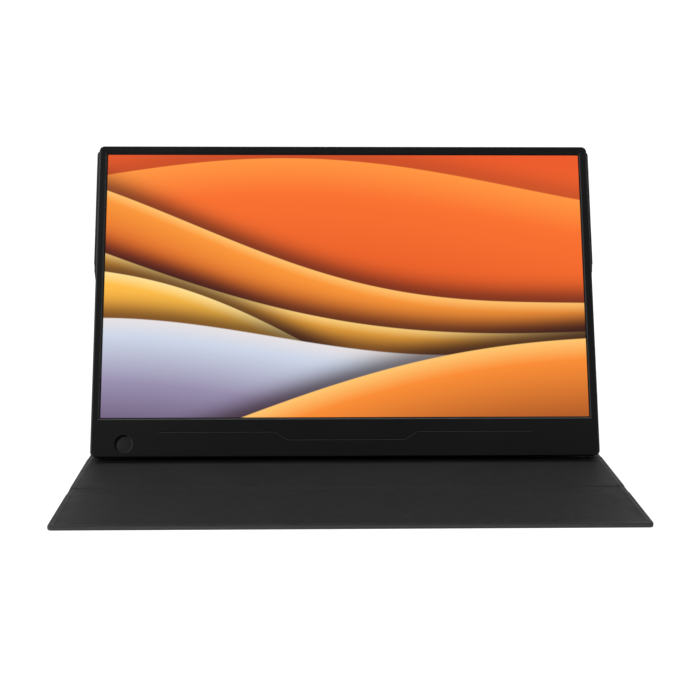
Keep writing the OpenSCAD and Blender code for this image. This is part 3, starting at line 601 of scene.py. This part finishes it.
def circuit_board(name):
    """Solder mask over copper tracks."""
    made, tree, shader, where = material(name, Coat_Weight=0.4, Coat_Roughness=0.2)
    tracks = add_node(tree, "TexBrick", {"offset": 0.37, "squash": 1.4, "squash_frequency": 3},
                      Vector=where, Scale=260.0, Mortar_Size=0.06, Mortar_Smooth=0.2)
    bare = mixed(tree, noise(tree, where, 90.0), (0.006, 0.07, 0.025, 1), (0.012, 0.12, 0.05, 1))
    tree.links.new(mixed(tree, tracks.outputs["Fac"], bare, (0.03, 0.2, 0.09, 1)),
                   shader.inputs["Base Color"])
    tree.links.new(ranged(tree, tracks.outputs["Fac"], 0, 1, 0.45, 0.35),
                   shader.inputs["Roughness"])
    bumped(tree, shader, tracks.outputs["Fac"], 0.3, TRACK_HEIGHT)
    return made


def film(name, dark, light, rough, **constants):
    """Sheet plastic, board or paper with a faint cloudiness."""
    made, tree, shader, where = material(name, **constants)
    cloud = noise(tree, where, 140.0, 4.0)
    fibre = noise(tree, where, 2400.0, 3.0)
    tree.links.new(mixed(tree, times(tree, cloud, fibre), dark, light),
                   shader.inputs["Base Color"])
    tree.links.new(ranged(tree, fibre, 0.3, 0.7, *rough), shader.inputs["Roughness"])
    bumped(tree, shader, fibre, 0.2, FINE_HEIGHT)
    return made


# The picture on the screen: rolling bands, each with its crest line and its own shading.
# A crest is height = level + slope * u + swing * sin(turns * u + start), in picture heights.
BANDS = [
    {"crest": (0.90, -0.02, 0.10, 1.9, 0.2), "depth": 0.55, "shade": 0.30,
     "stops": [(0.0, srgb(255, 150, 62)), (0.25, srgb(250, 112, 40)), (1.0, srgb(226, 84, 26))]},
    {"crest": (0.80, -0.22, 0.09, 2.3, 2.4), "depth": 0.42, "shade": 0.75,
     "stops": [(0.0, srgb(255, 196, 110)), (0.10, srgb(250, 150, 52)), (0.55, srgb(214, 84, 24)),
               (1.0, srgb(96, 26, 10))]},
    {"crest": (0.64, -0.17, 0.13, 1.6, 3.3), "depth": 0.46, "shade": 0.85,
     "stops": [(0.0, srgb(255, 214, 130)), (0.08, srgb(253, 176, 62)), (0.5, srgb(240, 130, 40)),
               (0.85, srgb(120, 36, 12)), (1.0, srgb(58, 14, 6))]},
    {"crest": (0.47, -0.30, 0.10, 2.6, 0.9), "depth": 0.40, "shade": 0.85,
     "stops": [(0.0, srgb(255, 226, 150)), (0.12, srgb(255, 190, 70)), (0.6, srgb(245, 150, 44)),
               (1.0, srgb(150, 56, 20))]},
    {"crest": (0.26, 0.07, 0.12, 2.0, 1.9), "depth": 0.44, "shade": 0.80,
     "stops": [(0.0, srgb(232, 226, 226)), (0.15, srgb(205, 214, 232)), (0.55, srgb(150, 140, 172)),
               (1.0, srgb(88, 62, 98))]},
    {"crest": (-0.12, 0.20, 0.10, 1.8, 5.6), "depth": 0.40, "shade": 0.80,
     "stops": [(0.0, srgb(255, 200, 112)), (0.2, srgb(250, 140, 48)), (1.0, srgb(110, 30, 12))]},
]
SKY = [(0.0, srgb(250, 128, 50)), (1.0, srgb(236, 88, 34))]
SHADOW = srgb(46, 10, 8)
SHADOW_REACH = 0.16   # how far a band's shadow falls above its crest, in picture heights
SHADOW_FALL = 2.5     # how fast it fades: higher is faster
CREST_BLUR = 0.004    # width of the change at a crest, in picture heights
SCREEN_BORDER = 0.75  # dark edge between the picture and the bezel, in millimetres


def glowing_picture(name):
    """Matt screen glass with the lit picture, its bands laid over each other from the top down."""
    made, tree, shader, where = material(
        name, Base_Color=(0.004, 0.004, 0.005, 1), Specular_IOR_Level=0.3, Emission_Strength=1.0)
    middle = Vector((0, -CASE_T, WINDOW_LOW)) * MM
    upright = Matrix.Rotation(tilt, 3, "X")
    flat = add_node(tree, "Mapping", Vector=where, Rotation=(tilt, 0.0, 0.0),
                    Location=-(upright @ case_edge * MM) - middle)
    axes = add_node(tree, "SeparateXYZ", Vector=flat.outputs[0])
    size = WINDOW_H * MM
    u = maths(tree, "DIVIDE", plus(tree, axes.outputs["X"], WINDOW_W * MM / 2), size)
    v = maths(tree, "DIVIDE", axes.outputs["Z"], size)
    colour = ramp(tree, v, SKY)
    for band in BANDS:
        level, slope, swing, turns, start = band["crest"]
        wave = maths(tree, "SINE", maths(tree, "MULTIPLY_ADD", u, turns, start))
        line = maths(tree, "MULTIPLY_ADD", u, slope, level)
        crest = maths(tree, "MULTIPLY_ADD", wave, swing, line)
        below = maths(tree, "SUBTRACT", crest, v)
        shadow = ranged(tree, below, -SHADOW_REACH, 0.0, smooth=True)
        shadow = times(tree, maths(tree, "POWER", shadow, SHADOW_FALL), band["shade"])
        colour = mixed(tree, shadow, colour, SHADOW)
        across = maths(tree, "DIVIDE", below, band["depth"])
        colour = mixed(tree, ranged(tree, below, 0.0, CREST_BLUR), colour,
                       ramp(tree, across, band["stops"]))
    border = SCREEN_BORDER * MM
    within_sides = maths(tree, "LESS_THAN", maths(tree, "ABSOLUTE", axes.outputs["X"]),
                         WINDOW_W * MM / 2 - border)
    over_bottom = maths(tree, "GREATER_THAN", axes.outputs["Z"], border)
    under_top = maths(tree, "LESS_THAN", axes.outputs["Z"], size - border)
    inside = times(tree, within_sides, times(tree, over_bottom, under_top))
    tree.links.new(mixed(tree, inside, (0, 0, 0, 1), colour), shader.inputs["Emission Color"])
    haze = noise(tree, where, 2600.0, 2.0)
    tree.links.new(ranged(tree, haze, 0.3, 0.7, 0.28, 0.36), shader.inputs["Roughness"])
    return made


FINISHES = {
    "case_plastic": plastic("case_plastic", (0.0045, 0.0045, 0.0048, 1), (0.007, 0.007, 0.0074, 1),
                            (0.45, 0.58), specular=0.12),
    "key_plastic": plastic("key_plastic", (0.012, 0.012, 0.013, 1), (0.018, 0.018, 0.019, 1),
                           (0.35, 0.45)),
    "screen_glass": glowing_picture("screen_glass"),
    "foam_tape": film("foam_tape", (0.008, 0.008, 0.008, 1), (0.03, 0.03, 0.03, 1), (0.85, 0.95)),
    "white_film": film("white_film", (0.82, 0.82, 0.85, 1), (0.95, 0.95, 0.95, 1), (0.5, 0.6)),
    "clear_plastic": film("clear_plastic", (0.8, 0.9, 0.9, 1), (0.9, 0.95, 0.95, 1), (0.05, 0.12),
                          Transmission_Weight=0.6, IOR=1.49),
    "led_strip": film("led_strip", (0.75, 0.7, 0.42, 1), (0.95, 0.9, 0.6, 1), (0.35, 0.5)),
    "tinned_steel": steel("tinned_steel", (0.5, 0.5, 0.52, 1), (0.72, 0.72, 0.73, 1), (0.28, 0.42)),
    "circuit_board": circuit_board("circuit_board"),
    "flex_film": film("flex_film", (0.42, 0.2, 0.05, 1), (0.62, 0.32, 0.1, 1), (0.25, 0.35)),
    "black_plastic": plastic("black_plastic", (0.012, 0.012, 0.012, 1), (0.02, 0.02, 0.02, 1),
                             (0.45, 0.6), grit=2400.0),
    "magnet_metal": steel("magnet_metal", (0.5, 0.5, 0.52, 1), (0.65, 0.65, 0.67, 1), (0.2, 0.3)),
    "cover_skin": leather("cover_skin", (0.020, 0.020, 0.0205, 1), (0.032, 0.032, 0.033, 1),
                          1300.0, 0.5, (0.55, 0.7)),
    # the lining carries the painted shadow under the case's overhang
    "cover_lining": leather("cover_lining", (0.016, 0.016, 0.0165, 1), (0.026, 0.026, 0.027, 1),
                            1700.0, 0.35, (0.6, 0.75), painted_case_shadow=True),
    "stiff_board": film("stiff_board", (0.28, 0.22, 0.14, 1), (0.42, 0.34, 0.23, 1), (0.8, 0.9)),
}

# ---------- cover ----------


@dataclass
class Panel:
    """One stiff panel of the cover, drawn lying with its leather side down."""

    body: str
    place: Matrix   # its frame
    start: float    # its ends, along y
    end: float
    free: tuple     # whether its start and its end are free edges rather than folds
    boards: tuple   # the CAD nodes of its boards
    spans: list     # where it has its full thickness, over each board
    fills: tuple    # soft backing before the first board, between boards and after the last
    slope: float    # length over which the leather comes down beside a board

    def slopes(self, low, high):
        """Places between two others where the leather starts or stops sloping."""
        places = [place for first, last in self.spans
                  for place in (first - self.slope, first, last, last + self.slope)]
        return [place for place in places if low < place < high]

    def in_groove(self, y):
        """Whether a place lies past every board and its slope."""
        return all(y < low - self.slope + NEAR or y > high + self.slope - NEAR
                   for low, high in self.spans)

    def groove_at(self, y):
        """Number of the groove nearest to a place: 0 before the first board, and so on."""
        return sum(y > (low + high) / 2 for low, high in self.spans)

    def height_at(self, y):
        """Height of its upper side."""
        away = min(max(low - y, y - high, 0) for low, high in self.spans)
        depth = BOARD_T - self.fills[self.groove_at(y)]
        return PANEL_T - depth * min(away / self.slope, 1)

    def free_ends(self):
        """Its ends that are free edges."""
        return [end for end, is_free in zip((self.start, self.end), self.free) if is_free]

    def inside_hem(self, gap, at_fold):
        """Ends and half width of what lies inside the hem, with a gap, and at_fold past folds."""
        low = self.start + HEM_W + gap if self.free[0] else self.start - at_fold
        high = self.end - HEM_W - gap if self.free[1] else self.end + at_fold
        return low, high, COVER_W / 2 - HEM_W - gap


def sink_grooves(piece, panel, above, by):
    """Moves what lies above a height down into each groove, onto its backing."""
    for groove, fill in enumerate(panel.fills):
        move_corners(piece, lambda v: v.co.z > above and panel.in_groove(v.co.y)
                     and panel.groove_at(v.co.y) == groove, (0, 0, by + fill))


def is_crease(edge):
    """Whether a panel's upper or lower side changes slope at an edge, with room to round it."""
    if len(edge.link_faces) != 2:
        return False
    one, other = (face.normal for face in edge.link_faces)
    both_up_or_down = one.z * other.z > 0.05
    room = min(extent(face, BACK) for face in edge.link_faces)
    return both_up_or_down and one.angle(other) > CREASE_ABOVE and room > CREASE_R


def extent(face, axis):
    """A face's size along an axis."""
    places = [corner.co[axis] for corner in face.verts]
    return max(places) - min(places)


def is_rim(edge, fold_ends):
    """Whether an edge runs round a panel's sides or free end."""
    if len(edge.link_faces) != 2 or any(lies(edge, BACK, end) for end in fold_ends):
        return False
    flat = [abs(face.normal.z) > LYING for face in edge.link_faces]
    return flat[0] != flat[1]


def rim_wear_and_bounce_light(at, panel):
    """How far a panel's leather is paled at a place: rubbed at its outline, and more low down,
    where the extra paling is painted light bounced up from the floor.
    """
    out_x = max(abs(at.x) - (COVER_W / 2 - CORNER_R), 0)
    out_y = max([0] + [CORNER_R - abs(at.y - end) for end in panel.free_ends()])
    inward = CORNER_R - math.hypot(out_x, out_y)
    height = min(max(at.z / PANEL_T, 0), 1)
    # paler low down: painted light bounced up from the floor, over the rubbing
    at_height = RIM_PALE_LOW + (RIM_PALE_TOP - RIM_PALE_LOW) * height
    return max(1 - inward / RIM_PALE_W, 0) * at_height


def cover_skin(panel):
    """Leather of one panel: its outer sheet and its turned edge, with room for the boards."""
    skin = block(panel.body + "_leather", (-COVER_W / 2, panel.start, 0),
                 (COVER_W / 2, panel.end, PANEL_T))
    slice_at(skin, BACK, panel.slopes(panel.start, panel.end))
    sink_grooves(skin, panel, SKIN_T, -BOARD_T)
    for end in panel.free_ends():
        round_off(skin, lambda e: runs(e, UP) and lies(e, BACK, end), CORNER_R, 8)
    round_off(skin, is_crease, CREASE_R, 3)
    fold_ends = {panel.start, panel.end}.difference(panel.free_ends())
    round_off(skin, lambda e: is_rim(e, fold_ends), RIM_R, 4)
    low, high, half = panel.inside_hem(0, CUT_PAST)
    bed = block("bed", (-half, low, SKIN_T + BOARD_T), (half, high, 2 * PANEL_T))
    slice_at(bed, BACK, panel.slopes(low, high))
    sink_grooves(bed, panel, 0, -BOARD_T)
    cut_away(skin, bed)
    for board in panel.boards:
        board_low, board_high = local_box(board, panel.place)
        room = Vector((HEM_GAP, HEM_GAP, 0))
        cut_away(skin, block("pocket", board_low - room, board_high + room))
    round_off(skin, lambda e: hem_inner(e, panel, low, high, half), HEM_EDGE_R, 2)
    mark_wear_and_highlights(skin, lambda at, normal: rim_wear_and_bounce_light(at, panel))
    return skin


def hem_inner(edge, panel, low, high, half):
    """Whether an edge is the top of the hem's inner wall."""
    on_wall = (all(abs(abs(v.co.x) - half) < NEAR for v in edge.verts)
               or lies(edge, BACK, low) or lies(edge, BACK, high))
    if not on_wall or len(edge.link_faces) != 2:
        return False
    flat = sorted(abs(face.normal.z) for face in edge.link_faces)
    top = all(v.co.z > panel.height_at(v.co.y) - CREASE_DIP for v in edge.verts)
    return top and flat[0] < LYING < flat[1]


def cover_lining(panel, lip):
    """Lining glued over the boards and down into the grooves, with a soft ridge at the lip."""
    low, high, half = panel.inside_hem(HEM_GAP, 0)
    bottom = SKIN_T + BOARD_T
    lining = block(panel.body + "_inner_lining", (-half, low, bottom),
                   (half, high, bottom + LINING_T))
    slice_at(lining, BACK, panel.slopes(low, high))
    sink_grooves(lining, panel, 0, -BOARD_T)
    if lip is not None:
        slice_at(lining, BACK, (lip - SEAT_LIP_W,))
        move_corners(lining, lambda v: abs(v.co.y - lip) < NEAR
                     and v.co.z > bottom + LINING_T / 2, (0, 0, SEAT_LIP))
    round_off(lining, is_crease, CREASE_R, 3)
    fold_ends = {panel.start, panel.end}.difference(panel.free_ends())
    round_off(lining, lambda e: is_rim(e, fold_ends)
              and max(f.normal.z for f in e.link_faces) > LYING, LINING_EDGE_R, 2)
    return lining


def fold_section(name, y, hem, fill):
    """Cross-section of the boardless leather at a fold, as faces in the plane at y."""
    bpy.ops.mesh.primitive_plane_add(size=1, location=(0, y, (STRIP_T + fill) / 2),
                                     rotation=(math.radians(90), 0, 0))
    if hem:
        bpy.context.object.scale = (COVER_W, STRIP_T + fill, 1)
        section = named(name)
        inner = COVER_W / 2 - HEM_W
        edit(section)
        choose(section, "VERT", lambda v: True)
        bpy.ops.mesh.bevel(offset=RIM_R, segments=4, affect="VERTICES")
        done()
        slice_at(section, ACROSS, (-inner, inner))
        slice_at(section, UP, (SKIN_T + fill,))
        edit(section)
        choose(section, "FACE", lambda f: abs(f.calc_center_median().x) < inner
               and f.calc_center_median().z > SKIN_T + fill)
        bpy.ops.mesh.delete(type="FACE")
        done()
        return section
    inner = COVER_W / 2 - HEM_W - HEM_GAP
    bpy.context.object.scale = (2 * inner, LINING_T, 1)
    bpy.context.object.location.z = SKIN_T + fill + LINING_T / 2
    return named(name)


def bent_strip(name, near, near_y, far, far_y, angle, radius, hem, fill=0.0):
    """Leather from one panel's end round a fold to the next panel's, and those two ends."""
    here = Vector((0, near_y, SKIN_T))
    there = near.place.inverted() @ far.place @ Vector((0, far_y, SKIN_T))
    way = Vector((0, math.cos(angle), math.sin(angle)))
    strip = fold_section(name, near_y, hem, fill)
    edit(strip)
    bpy.ops.mesh.select_all(action="SELECT")
    if angle == 0:
        row = way * (there - here).length / FOLD_ROWS
        for _ in range(FOLD_ROWS):
            bpy.ops.mesh.extrude_region_move(TRANSFORM_OT_translate={"value": row})
    else:
        # lengths of the two straight stretches if they met in a corner, and what the bend takes
        last = (there.z - here.z) / way.z
        first = there.y - here.y - last * way.y
        bend = radius * math.tan(abs(angle) / 2)
        bpy.ops.mesh.extrude_region_move(TRANSFORM_OT_translate={"value": (0, first - bend, 0)})
        centre = Vector((0, near_y + first - bend, SKIN_T + math.copysign(radius, angle)))
        bpy.ops.mesh.spin(steps=FOLD_ROWS, angle=-angle, center=centre, axis=(1, 0, 0))
        bpy.ops.mesh.extrude_region_move(TRANSFORM_OT_translate={"value": way * (last - bend)})
    done()
    facing_out(strip)
    mark_wear_and_highlights(strip, lambda at, normal: SIDE_WEAR if hem and abs(normal.x) > SIDEWAYS else 0)
    ends = [near.place @ here * MM, far.place @ Vector((0, far_y, SKIN_T)) * MM]
    return strip, ends


def build_cover():
    """The cover's four panels, each leather and lining, and the leather of its three folds."""
    flap_start = local_box("flap_skin", TABLE)[0].y
    flap_board_end = board_span("flap_board", TABLE)[1]
    base_boards = ("middle_board", "rear_board", "spine_board")
    base_spans = [board_span(board, TABLE) for board in base_boards]
    leg_ends = (FOLD_END, leg_length - FOLD_END)
    back_start, back_end = (corner.y for corner in local_box("back_panel_skin", BACK_LYING))

    flap = Panel("flap", TABLE, flap_start, flap_board_end + BOARD_T, (True, False),
                 ("flap_board",), [(flap_start, flap_board_end)], (0, GROOVE_FILL), BOARD_T)
    base = Panel("base", TABLE, base_spans[0][0] - BOARD_T, base_spans[-1][1] + BOARD_T,
                 (False, False), base_boards, base_spans, (GROOVE_FILL, GROOVE_FILL, 0, 0),
                 BOARD_T)
    leg = Panel("leg", LEG_LYING, *leg_ends, (False, False), ("leg_board",),
                [(leg_ends[0] + BOARD_EDGE, leg_ends[1] - BOARD_EDGE)], (0, 0), BOARD_EDGE)
    back_panel = Panel("back_panel", BACK_LYING, back_start, back_end, (False, True),
                       ("back_panel_board",), [(back_start + BOARD_EDGE, back_end)], (0, 0),
                       BOARD_EDGE)
    for panel in (flap, base, leg, back_panel):
        fitted(cover_skin(panel), panel.place, "cover_skin", panel.body, (panel.body + "_skin",))
        # the case stands in the groove behind the base's first board
        lip = base_spans[0][1] if panel is base else None
        fitted(cover_lining(panel, lip), panel.place, "cover_lining", panel.body,
               (panel.body + "_lining",))

    # name, panels on both sides and where it meets each, angle, radius, what it stands for
    folds = [
        ("front_groove", base, base.start, flap, flap.end, 0, 0, ()),
        ("rear_fold", base, base.end, leg, leg.start, math.radians(90) + lean, REAR_FOLD_R,
         ("rear_fold_roll",)),
        ("top_fold", leg, leg.end, back_panel, back_panel.start, -(lean + tilt), TOP_FOLD_R,
         ("apex_fold",)),
    ]
    for name, near, near_y, far, far_y, angle, radius, stands_for in folds:
        for hem, slot, part in ((True, "cover_skin", "_leather"),
                                (False, "cover_lining", "_inner_lining")):
            if name == "front_groove":
                # drawn from the flap backwards
                strip, ends = bent_strip(name + part, far, far_y, near, near_y, angle, radius,
                                         hem, GROOVE_FILL)
                ends.reverse()
            else:
                strip, ends = bent_strip(name + part, near, near_y, far, far_y, angle, radius,
                                         hem)
            fitted(strip, near.place, slot, None, stands_for if hem else ())
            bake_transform(strip)


# ---------- monitor ----------


def chin_groove():
    """A bar along the line across the chin, on its corner, so that it cuts a V."""
    first, *others = [Vector((x, -CASE_T, z)) for x, z in CHIN_LINE]
    bpy.ops.mesh.primitive_circle_add(vertices=4, radius=CHIN_LINE_W / 2, location=first,
                                      rotation=(0, math.radians(90), 0), fill_type="NGON")
    bar = named("groove")
    edit(bar)
    here = first
    for there in others:
        bpy.ops.mesh.extrude_region_move(TRANSFORM_OT_translate={"value": there - here})
        here = there
    done()
    facing_out(bar)
    return bar


def build_bezel():
    """The case's front: a shallow tray with its window, pen hole and the line across its chin."""
    half = CASE_W / 2
    face = -CASE_T
    bezel = block("monitor_bezel", (-half, face, 0), (half, face + BEZEL_DEPTH, CASE_H))
    round_off(bezel, lambda e: runs(e, BACK), CASE_CORNER_R, 8)
    round_off(bezel, lambda e: lies(e, BACK, face), FRONT_EDGE_R, 5)
    top = WINDOW_LOW + WINDOW_H
    window = block("window", (-WINDOW_W / 2, face - CUT_PAST, WINDOW_LOW), (WINDOW_W / 2, 0, top))
    pocket = block("pocket", (WALL - half, face + BEZEL_FACE, WALL),
                   (half - WALL, 0, CASE_H - WALL))
    round_off(pocket, lambda e: runs(e, BACK), CASE_CORNER_R - WALL, 6)
    hole = round_bar("hole", PEN_HOLE + Vector((0, face, 0)), PEN_HOLE_R,
                     2 * (BEZEL_DEPTH + CUT_PAST))
    cut_away(bezel, window, pocket, hole, chin_groove())
    round_off(bezel, lambda e: lies(e, BACK, face) and on_window(e, 0), WINDOW_EDGE, 1)
    round_off(bezel, lambda e: lies(e, BACK, face) and on_window(e, WINDOW_EDGE),
              WINDOW_EDGE_R, 2)
    round_off(bezel, lambda e: lies(e, BACK, face) and on_pen_hole(e), PEN_HOLE_EDGE_R, 3)
    mark_wear_and_highlights(bezel, bezel_highlights_and_wear)
    return fitted(bezel, CASE, "case_plastic", "monitor", ("front_bezel",))


def bezel_highlights_and_wear(at, normal):
    """How far the bezel is paled at a face, only where it slants out of the front: painted
    highlights on the window's chamfer, the pen hole's rim and the chin line's upward walls, and
    edge wear elsewhere.
    """
    if not SLANTING[0] < normal.y < SLANTING[1]:
        return 0
    # painted highlight on the window's chamfer, brightest where it faces up
    if on_edge_of_window(at):
        return max(0, WINDOW_HIGHLIGHT + WINDOW_HIGHLIGHT_UP * normal.z)
    # painted highlight on the pen hole's rim where it faces left, towards the left lamp
    if math.hypot(at.x - PEN_HOLE.x, at.z - PEN_HOLE.z) < PEN_HOLE_R + 2 * PEN_HOLE_EDGE_R:
        return max(0, -normal.x)
    # painted highlight on the chin line's upward-facing wall
    line_end, line_low, line_high = CHIN_LINE[-1][0], CHIN_LINE[2][1], CHIN_LINE[0][1]
    if (abs(at.x) < line_end + CHIN_LINE_W
            and line_low - CHIN_LINE_W < at.z < line_high + CHIN_LINE_W):
        return CHIN_LINE_HIGHLIGHT if normal.z > 0 else 0
    return EDGE_WEAR


def on_edge_of_window(at):
    """Whether a place lies within the window's chamfered edge."""
    away_x = abs(at.x) - WINDOW_W / 2
    away_z = abs(at.z - WINDOW_LOW - WINDOW_H / 2) - WINDOW_H / 2
    return max(away_x, away_z) < WINDOW_EDGE + 2 * WINDOW_EDGE_R


def on_window(edge, beyond):
    """Whether an edge runs round the window, at a distance beyond it."""
    side = WINDOW_W / 2 + beyond
    low, high = WINDOW_LOW - beyond, WINDOW_LOW + WINDOW_H + beyond
    across = [abs(v.co.x) for v in edge.verts]
    return (all(abs(x - side) < NEAR for x in across)
            or (lies(edge, UP, low) or lies(edge, UP, high)) and max(across) < side + NEAR)


def on_pen_hole(edge):
    """Whether an edge runs round the pen hole."""
    away = [math.hypot(v.co.x - PEN_HOLE.x, v.co.z - PEN_HOLE.z) for v in edge.verts]
    return all(abs(distance - PEN_HOLE_R) < 2 * NEAR for distance in away)


KEYS = ("power_key", "menu_key", "plus_key", "minus_key", "input_key")


def build_keys():
    """Side keys: a rounded cap, the flange that holds it in its slot, and its stem."""
    low, high = local_box(KEYS[0], CASE)
    centre = (low + high) / 2
    flange_x = CASE_W / 2 - WALL - SEAT_GAP
    cap = block("key", (flange_x, centre.y - KEY_W / 2, centre.z - KEY_L / 2),
                (high.x, centre.y + KEY_W / 2, centre.z + KEY_L / 2))
    round_off(cap, lambda e: runs(e, ACROSS), KEY_W / 2 - 2 * NEAR, 6)
    round_off(cap, lambda e: lies(e, ACROSS, high.x), KEY_EDGE_R, 3)
    edit(cap)
    choose(cap, "FACE", lambda f: lies(f, ACROSS, flange_x))
    flange = (1, (KEY_W + 2 * KEY_FLANGE_OUT) / KEY_W, (KEY_L + 2 * KEY_FLANGE_OUT) / KEY_L)
    stem = (1, KEY_STEM, KEY_STEM)
    for resize, inwards in ((flange, KEY_FLANGE_T), (stem, flange_x - KEY_FLANGE_T - low.x)):
        bpy.ops.mesh.extrude_region_move()
        bpy.ops.transform.resize(value=resize)
        bpy.ops.mesh.extrude_region_move(TRANSFORM_OT_translate={"value": (-inwards, 0, 0)})
    done()
    facing_out(cap)
    for key in KEYS:
        up = sum(corner.z for corner in local_box(key, CASE)) / 2 - centre.z
        twin = copied(cap, key + "_cap", (0, 0, up))
        fitted(twin, CASE, "key_plastic", key, (key,))
    bpy.data.objects.remove(cap)


def dress_cad_nodes():
    """Gives every CAD node the finish of its own material slot."""
    for part in frame["nodes"].values():
        for slot in part.material_slots:
            slot.material = FINISHES[slot.material.name.split(".")[0]]
    # the lit picture doesn't tint the leather in front of it
    frame["nodes"]["lcd_cell"].visible_diffuse = False
    frame["nodes"]["lcd_cell"].visible_glossy = False


# ---------- studio ----------

CAMERA_AT = (-23.604, -842.809, 255.989)  # in the TABLE frame
CAMERA_YAW, CAMERA_PITCH, CAMERA_ROLL = 1.3113, 11.3224, 0.1505
CAMERA_LENS = 65.903
SENSOR = 36.0
FLOOR_SIZE = 9.0      # metres from here on
FLOOR_AT = -0.0001    # just under the cover
BACKDROP_AT = 3.5
FLOOR_GLOW = 0.95     # as seen by the camera, where 1 is white
BACKDROP_GLOW = 1.0
SEEN_PAPER = (0.22, 0.22, 0.22, 1)
UNSEEN_PAPER = (0.8, 0.8, 0.8, 1)
AIR = (0.18, 0.18, 0.183, 1)


def stand_camera():
    """The camera, in front and a little to the left, looking slightly down."""
    data = bpy.data.cameras.new("camera")
    data.sensor_fit = "HORIZONTAL"
    data.sensor_width = SENSOR
    data.lens = CAMERA_LENS
    yaw, pitch, roll = (math.radians(a) for a in (CAMERA_YAW, CAMERA_PITCH, CAMERA_ROLL))
    ahead = Vector((math.sin(yaw) * math.cos(pitch), math.cos(yaw) * math.cos(pitch),
                    -math.sin(pitch)))
    right = Vector((math.cos(yaw), -math.sin(yaw), 0))
    above = right.cross(ahead)
    side = right * math.cos(roll) + above * math.sin(roll)
    top = above * math.cos(roll) - right * math.sin(roll)
    turned = Matrix((side, top, -ahead)).transposed().to_4x4()
    camera = bpy.data.objects.new("camera", data)
    camera.matrix_world = Matrix.Translation(TABLE @ Vector(CAMERA_AT) * MM) @ turned
    bpy.context.collection.objects.link(camera)
    bpy.context.scene.camera = camera


def seen_white(tree, strength, surface):
    """White to the camera, in gloss and through glass, and a plain surface to other light."""
    path = add_node(tree, "LightPath")
    reflected = plus(tree, path.outputs["Is Glossy Ray"], path.outputs["Is Transmission Ray"])
    seen = maths(tree, "ADD", path.outputs["Is Camera Ray"], reflected, clamp=True)
    glow = add_node(tree, "Emission", Strength=strength)
    both = add_node(tree, "AddShader")
    pale = add_node(tree, "BsdfDiffuse", Color=SEEN_PAPER)
    feed(tree, both.inputs[0], glow.outputs[0])
    feed(tree, both.inputs[1], pale.outputs[0])
    mix = add_node(tree, "MixShader", Fac=seen)
    feed(tree, mix.inputs[1], surface)
    feed(tree, mix.inputs[2], both.outputs[0])
    return mix.outputs[0]


def paper_white(name, strength):
    """Matt paper that looks white and lights the object as paper does."""
    made = bpy.data.materials.new(name)
    made.use_nodes = True
    tree = made.node_tree
    tree.nodes.clear()
    surface = add_node(tree, "BsdfDiffuse", Color=UNSEEN_PAPER)
    out = add_node(tree, "OutputMaterial")
    feed(tree, out.inputs["Surface"], seen_white(tree, strength, surface.outputs[0]))
    return made


def build_studio():
    """White floor, backdrop and surroundings, and four soft lamps."""
    bpy.ops.mesh.primitive_plane_add(size=FLOOR_SIZE, location=(0, 0, FLOOR_AT))
    floor = bpy.context.object
    floor.name = "floor"
    floor.data.materials.append(paper_white("floor_paper", FLOOR_GLOW))
    bpy.ops.mesh.primitive_plane_add(size=FLOOR_SIZE, location=(0, BACKDROP_AT, 0),
                                     rotation=(math.radians(90), 0, 0))
    backdrop = bpy.context.object
    backdrop.name = "backdrop"
    backdrop.data.materials.append(paper_white("backdrop_paper", BACKDROP_GLOW))

    world = bpy.data.worlds.new("studio")
    bpy.context.scene.world = world
    world.use_nodes = True
    tree = world.node_tree
    tree.nodes.clear()
    path = add_node(tree, "LightPath")
    seen = maths(tree, "MAXIMUM", path.outputs["Is Camera Ray"],
                 path.outputs["Is Transmission Ray"])
    air = add_node(tree, "Background", Color=AIR)
    white = add_node(tree, "Background", Color=(1, 1, 1, 1))
    mix = add_node(tree, "MixShader", Fac=seen)
    feed(tree, mix.inputs[1], air.outputs[0])
    feed(tree, mix.inputs[2], white.outputs[0])
    feed(tree, add_node(tree, "OutputWorld").inputs["Surface"], mix.outputs[0])

    # name, place, what it points at, size, watts
    lamps = [
        ("top_softbox", (0.0, 0.1, 1.9), (0, 0, 0.05), 1.8, 6.0),
        ("left_softbox", (-1.9, -0.7, 1.0), (0, 0, 0.1), 1.1, 50.0),
        ("right_softbox", (1.9, -0.7, 1.0), (0, 0, 0.1), 1.1, 16.0),
        ("rear_softbox", (0.0, 1.9, 0.95), (0, 0, 0.1), 0.8, 11.0),
    ]
    for name, at, towards, size, power in lamps:
        data = bpy.data.lights.new(name, "AREA")
        data.size = size
        data.energy = power
        lamp = bpy.data.objects.new(name, data)
        lamp.location = at
        lamp.rotation_euler = (Vector(towards) - Vector(at)).to_track_quat("-Z", "Y").to_euler()
        bpy.context.collection.objects.link(lamp)

    bpy.context.scene.view_settings.view_transform = "Standard"


stand_camera()
dress_cad_nodes()
build_cover()
build_bezel()
build_keys()
build_studio()
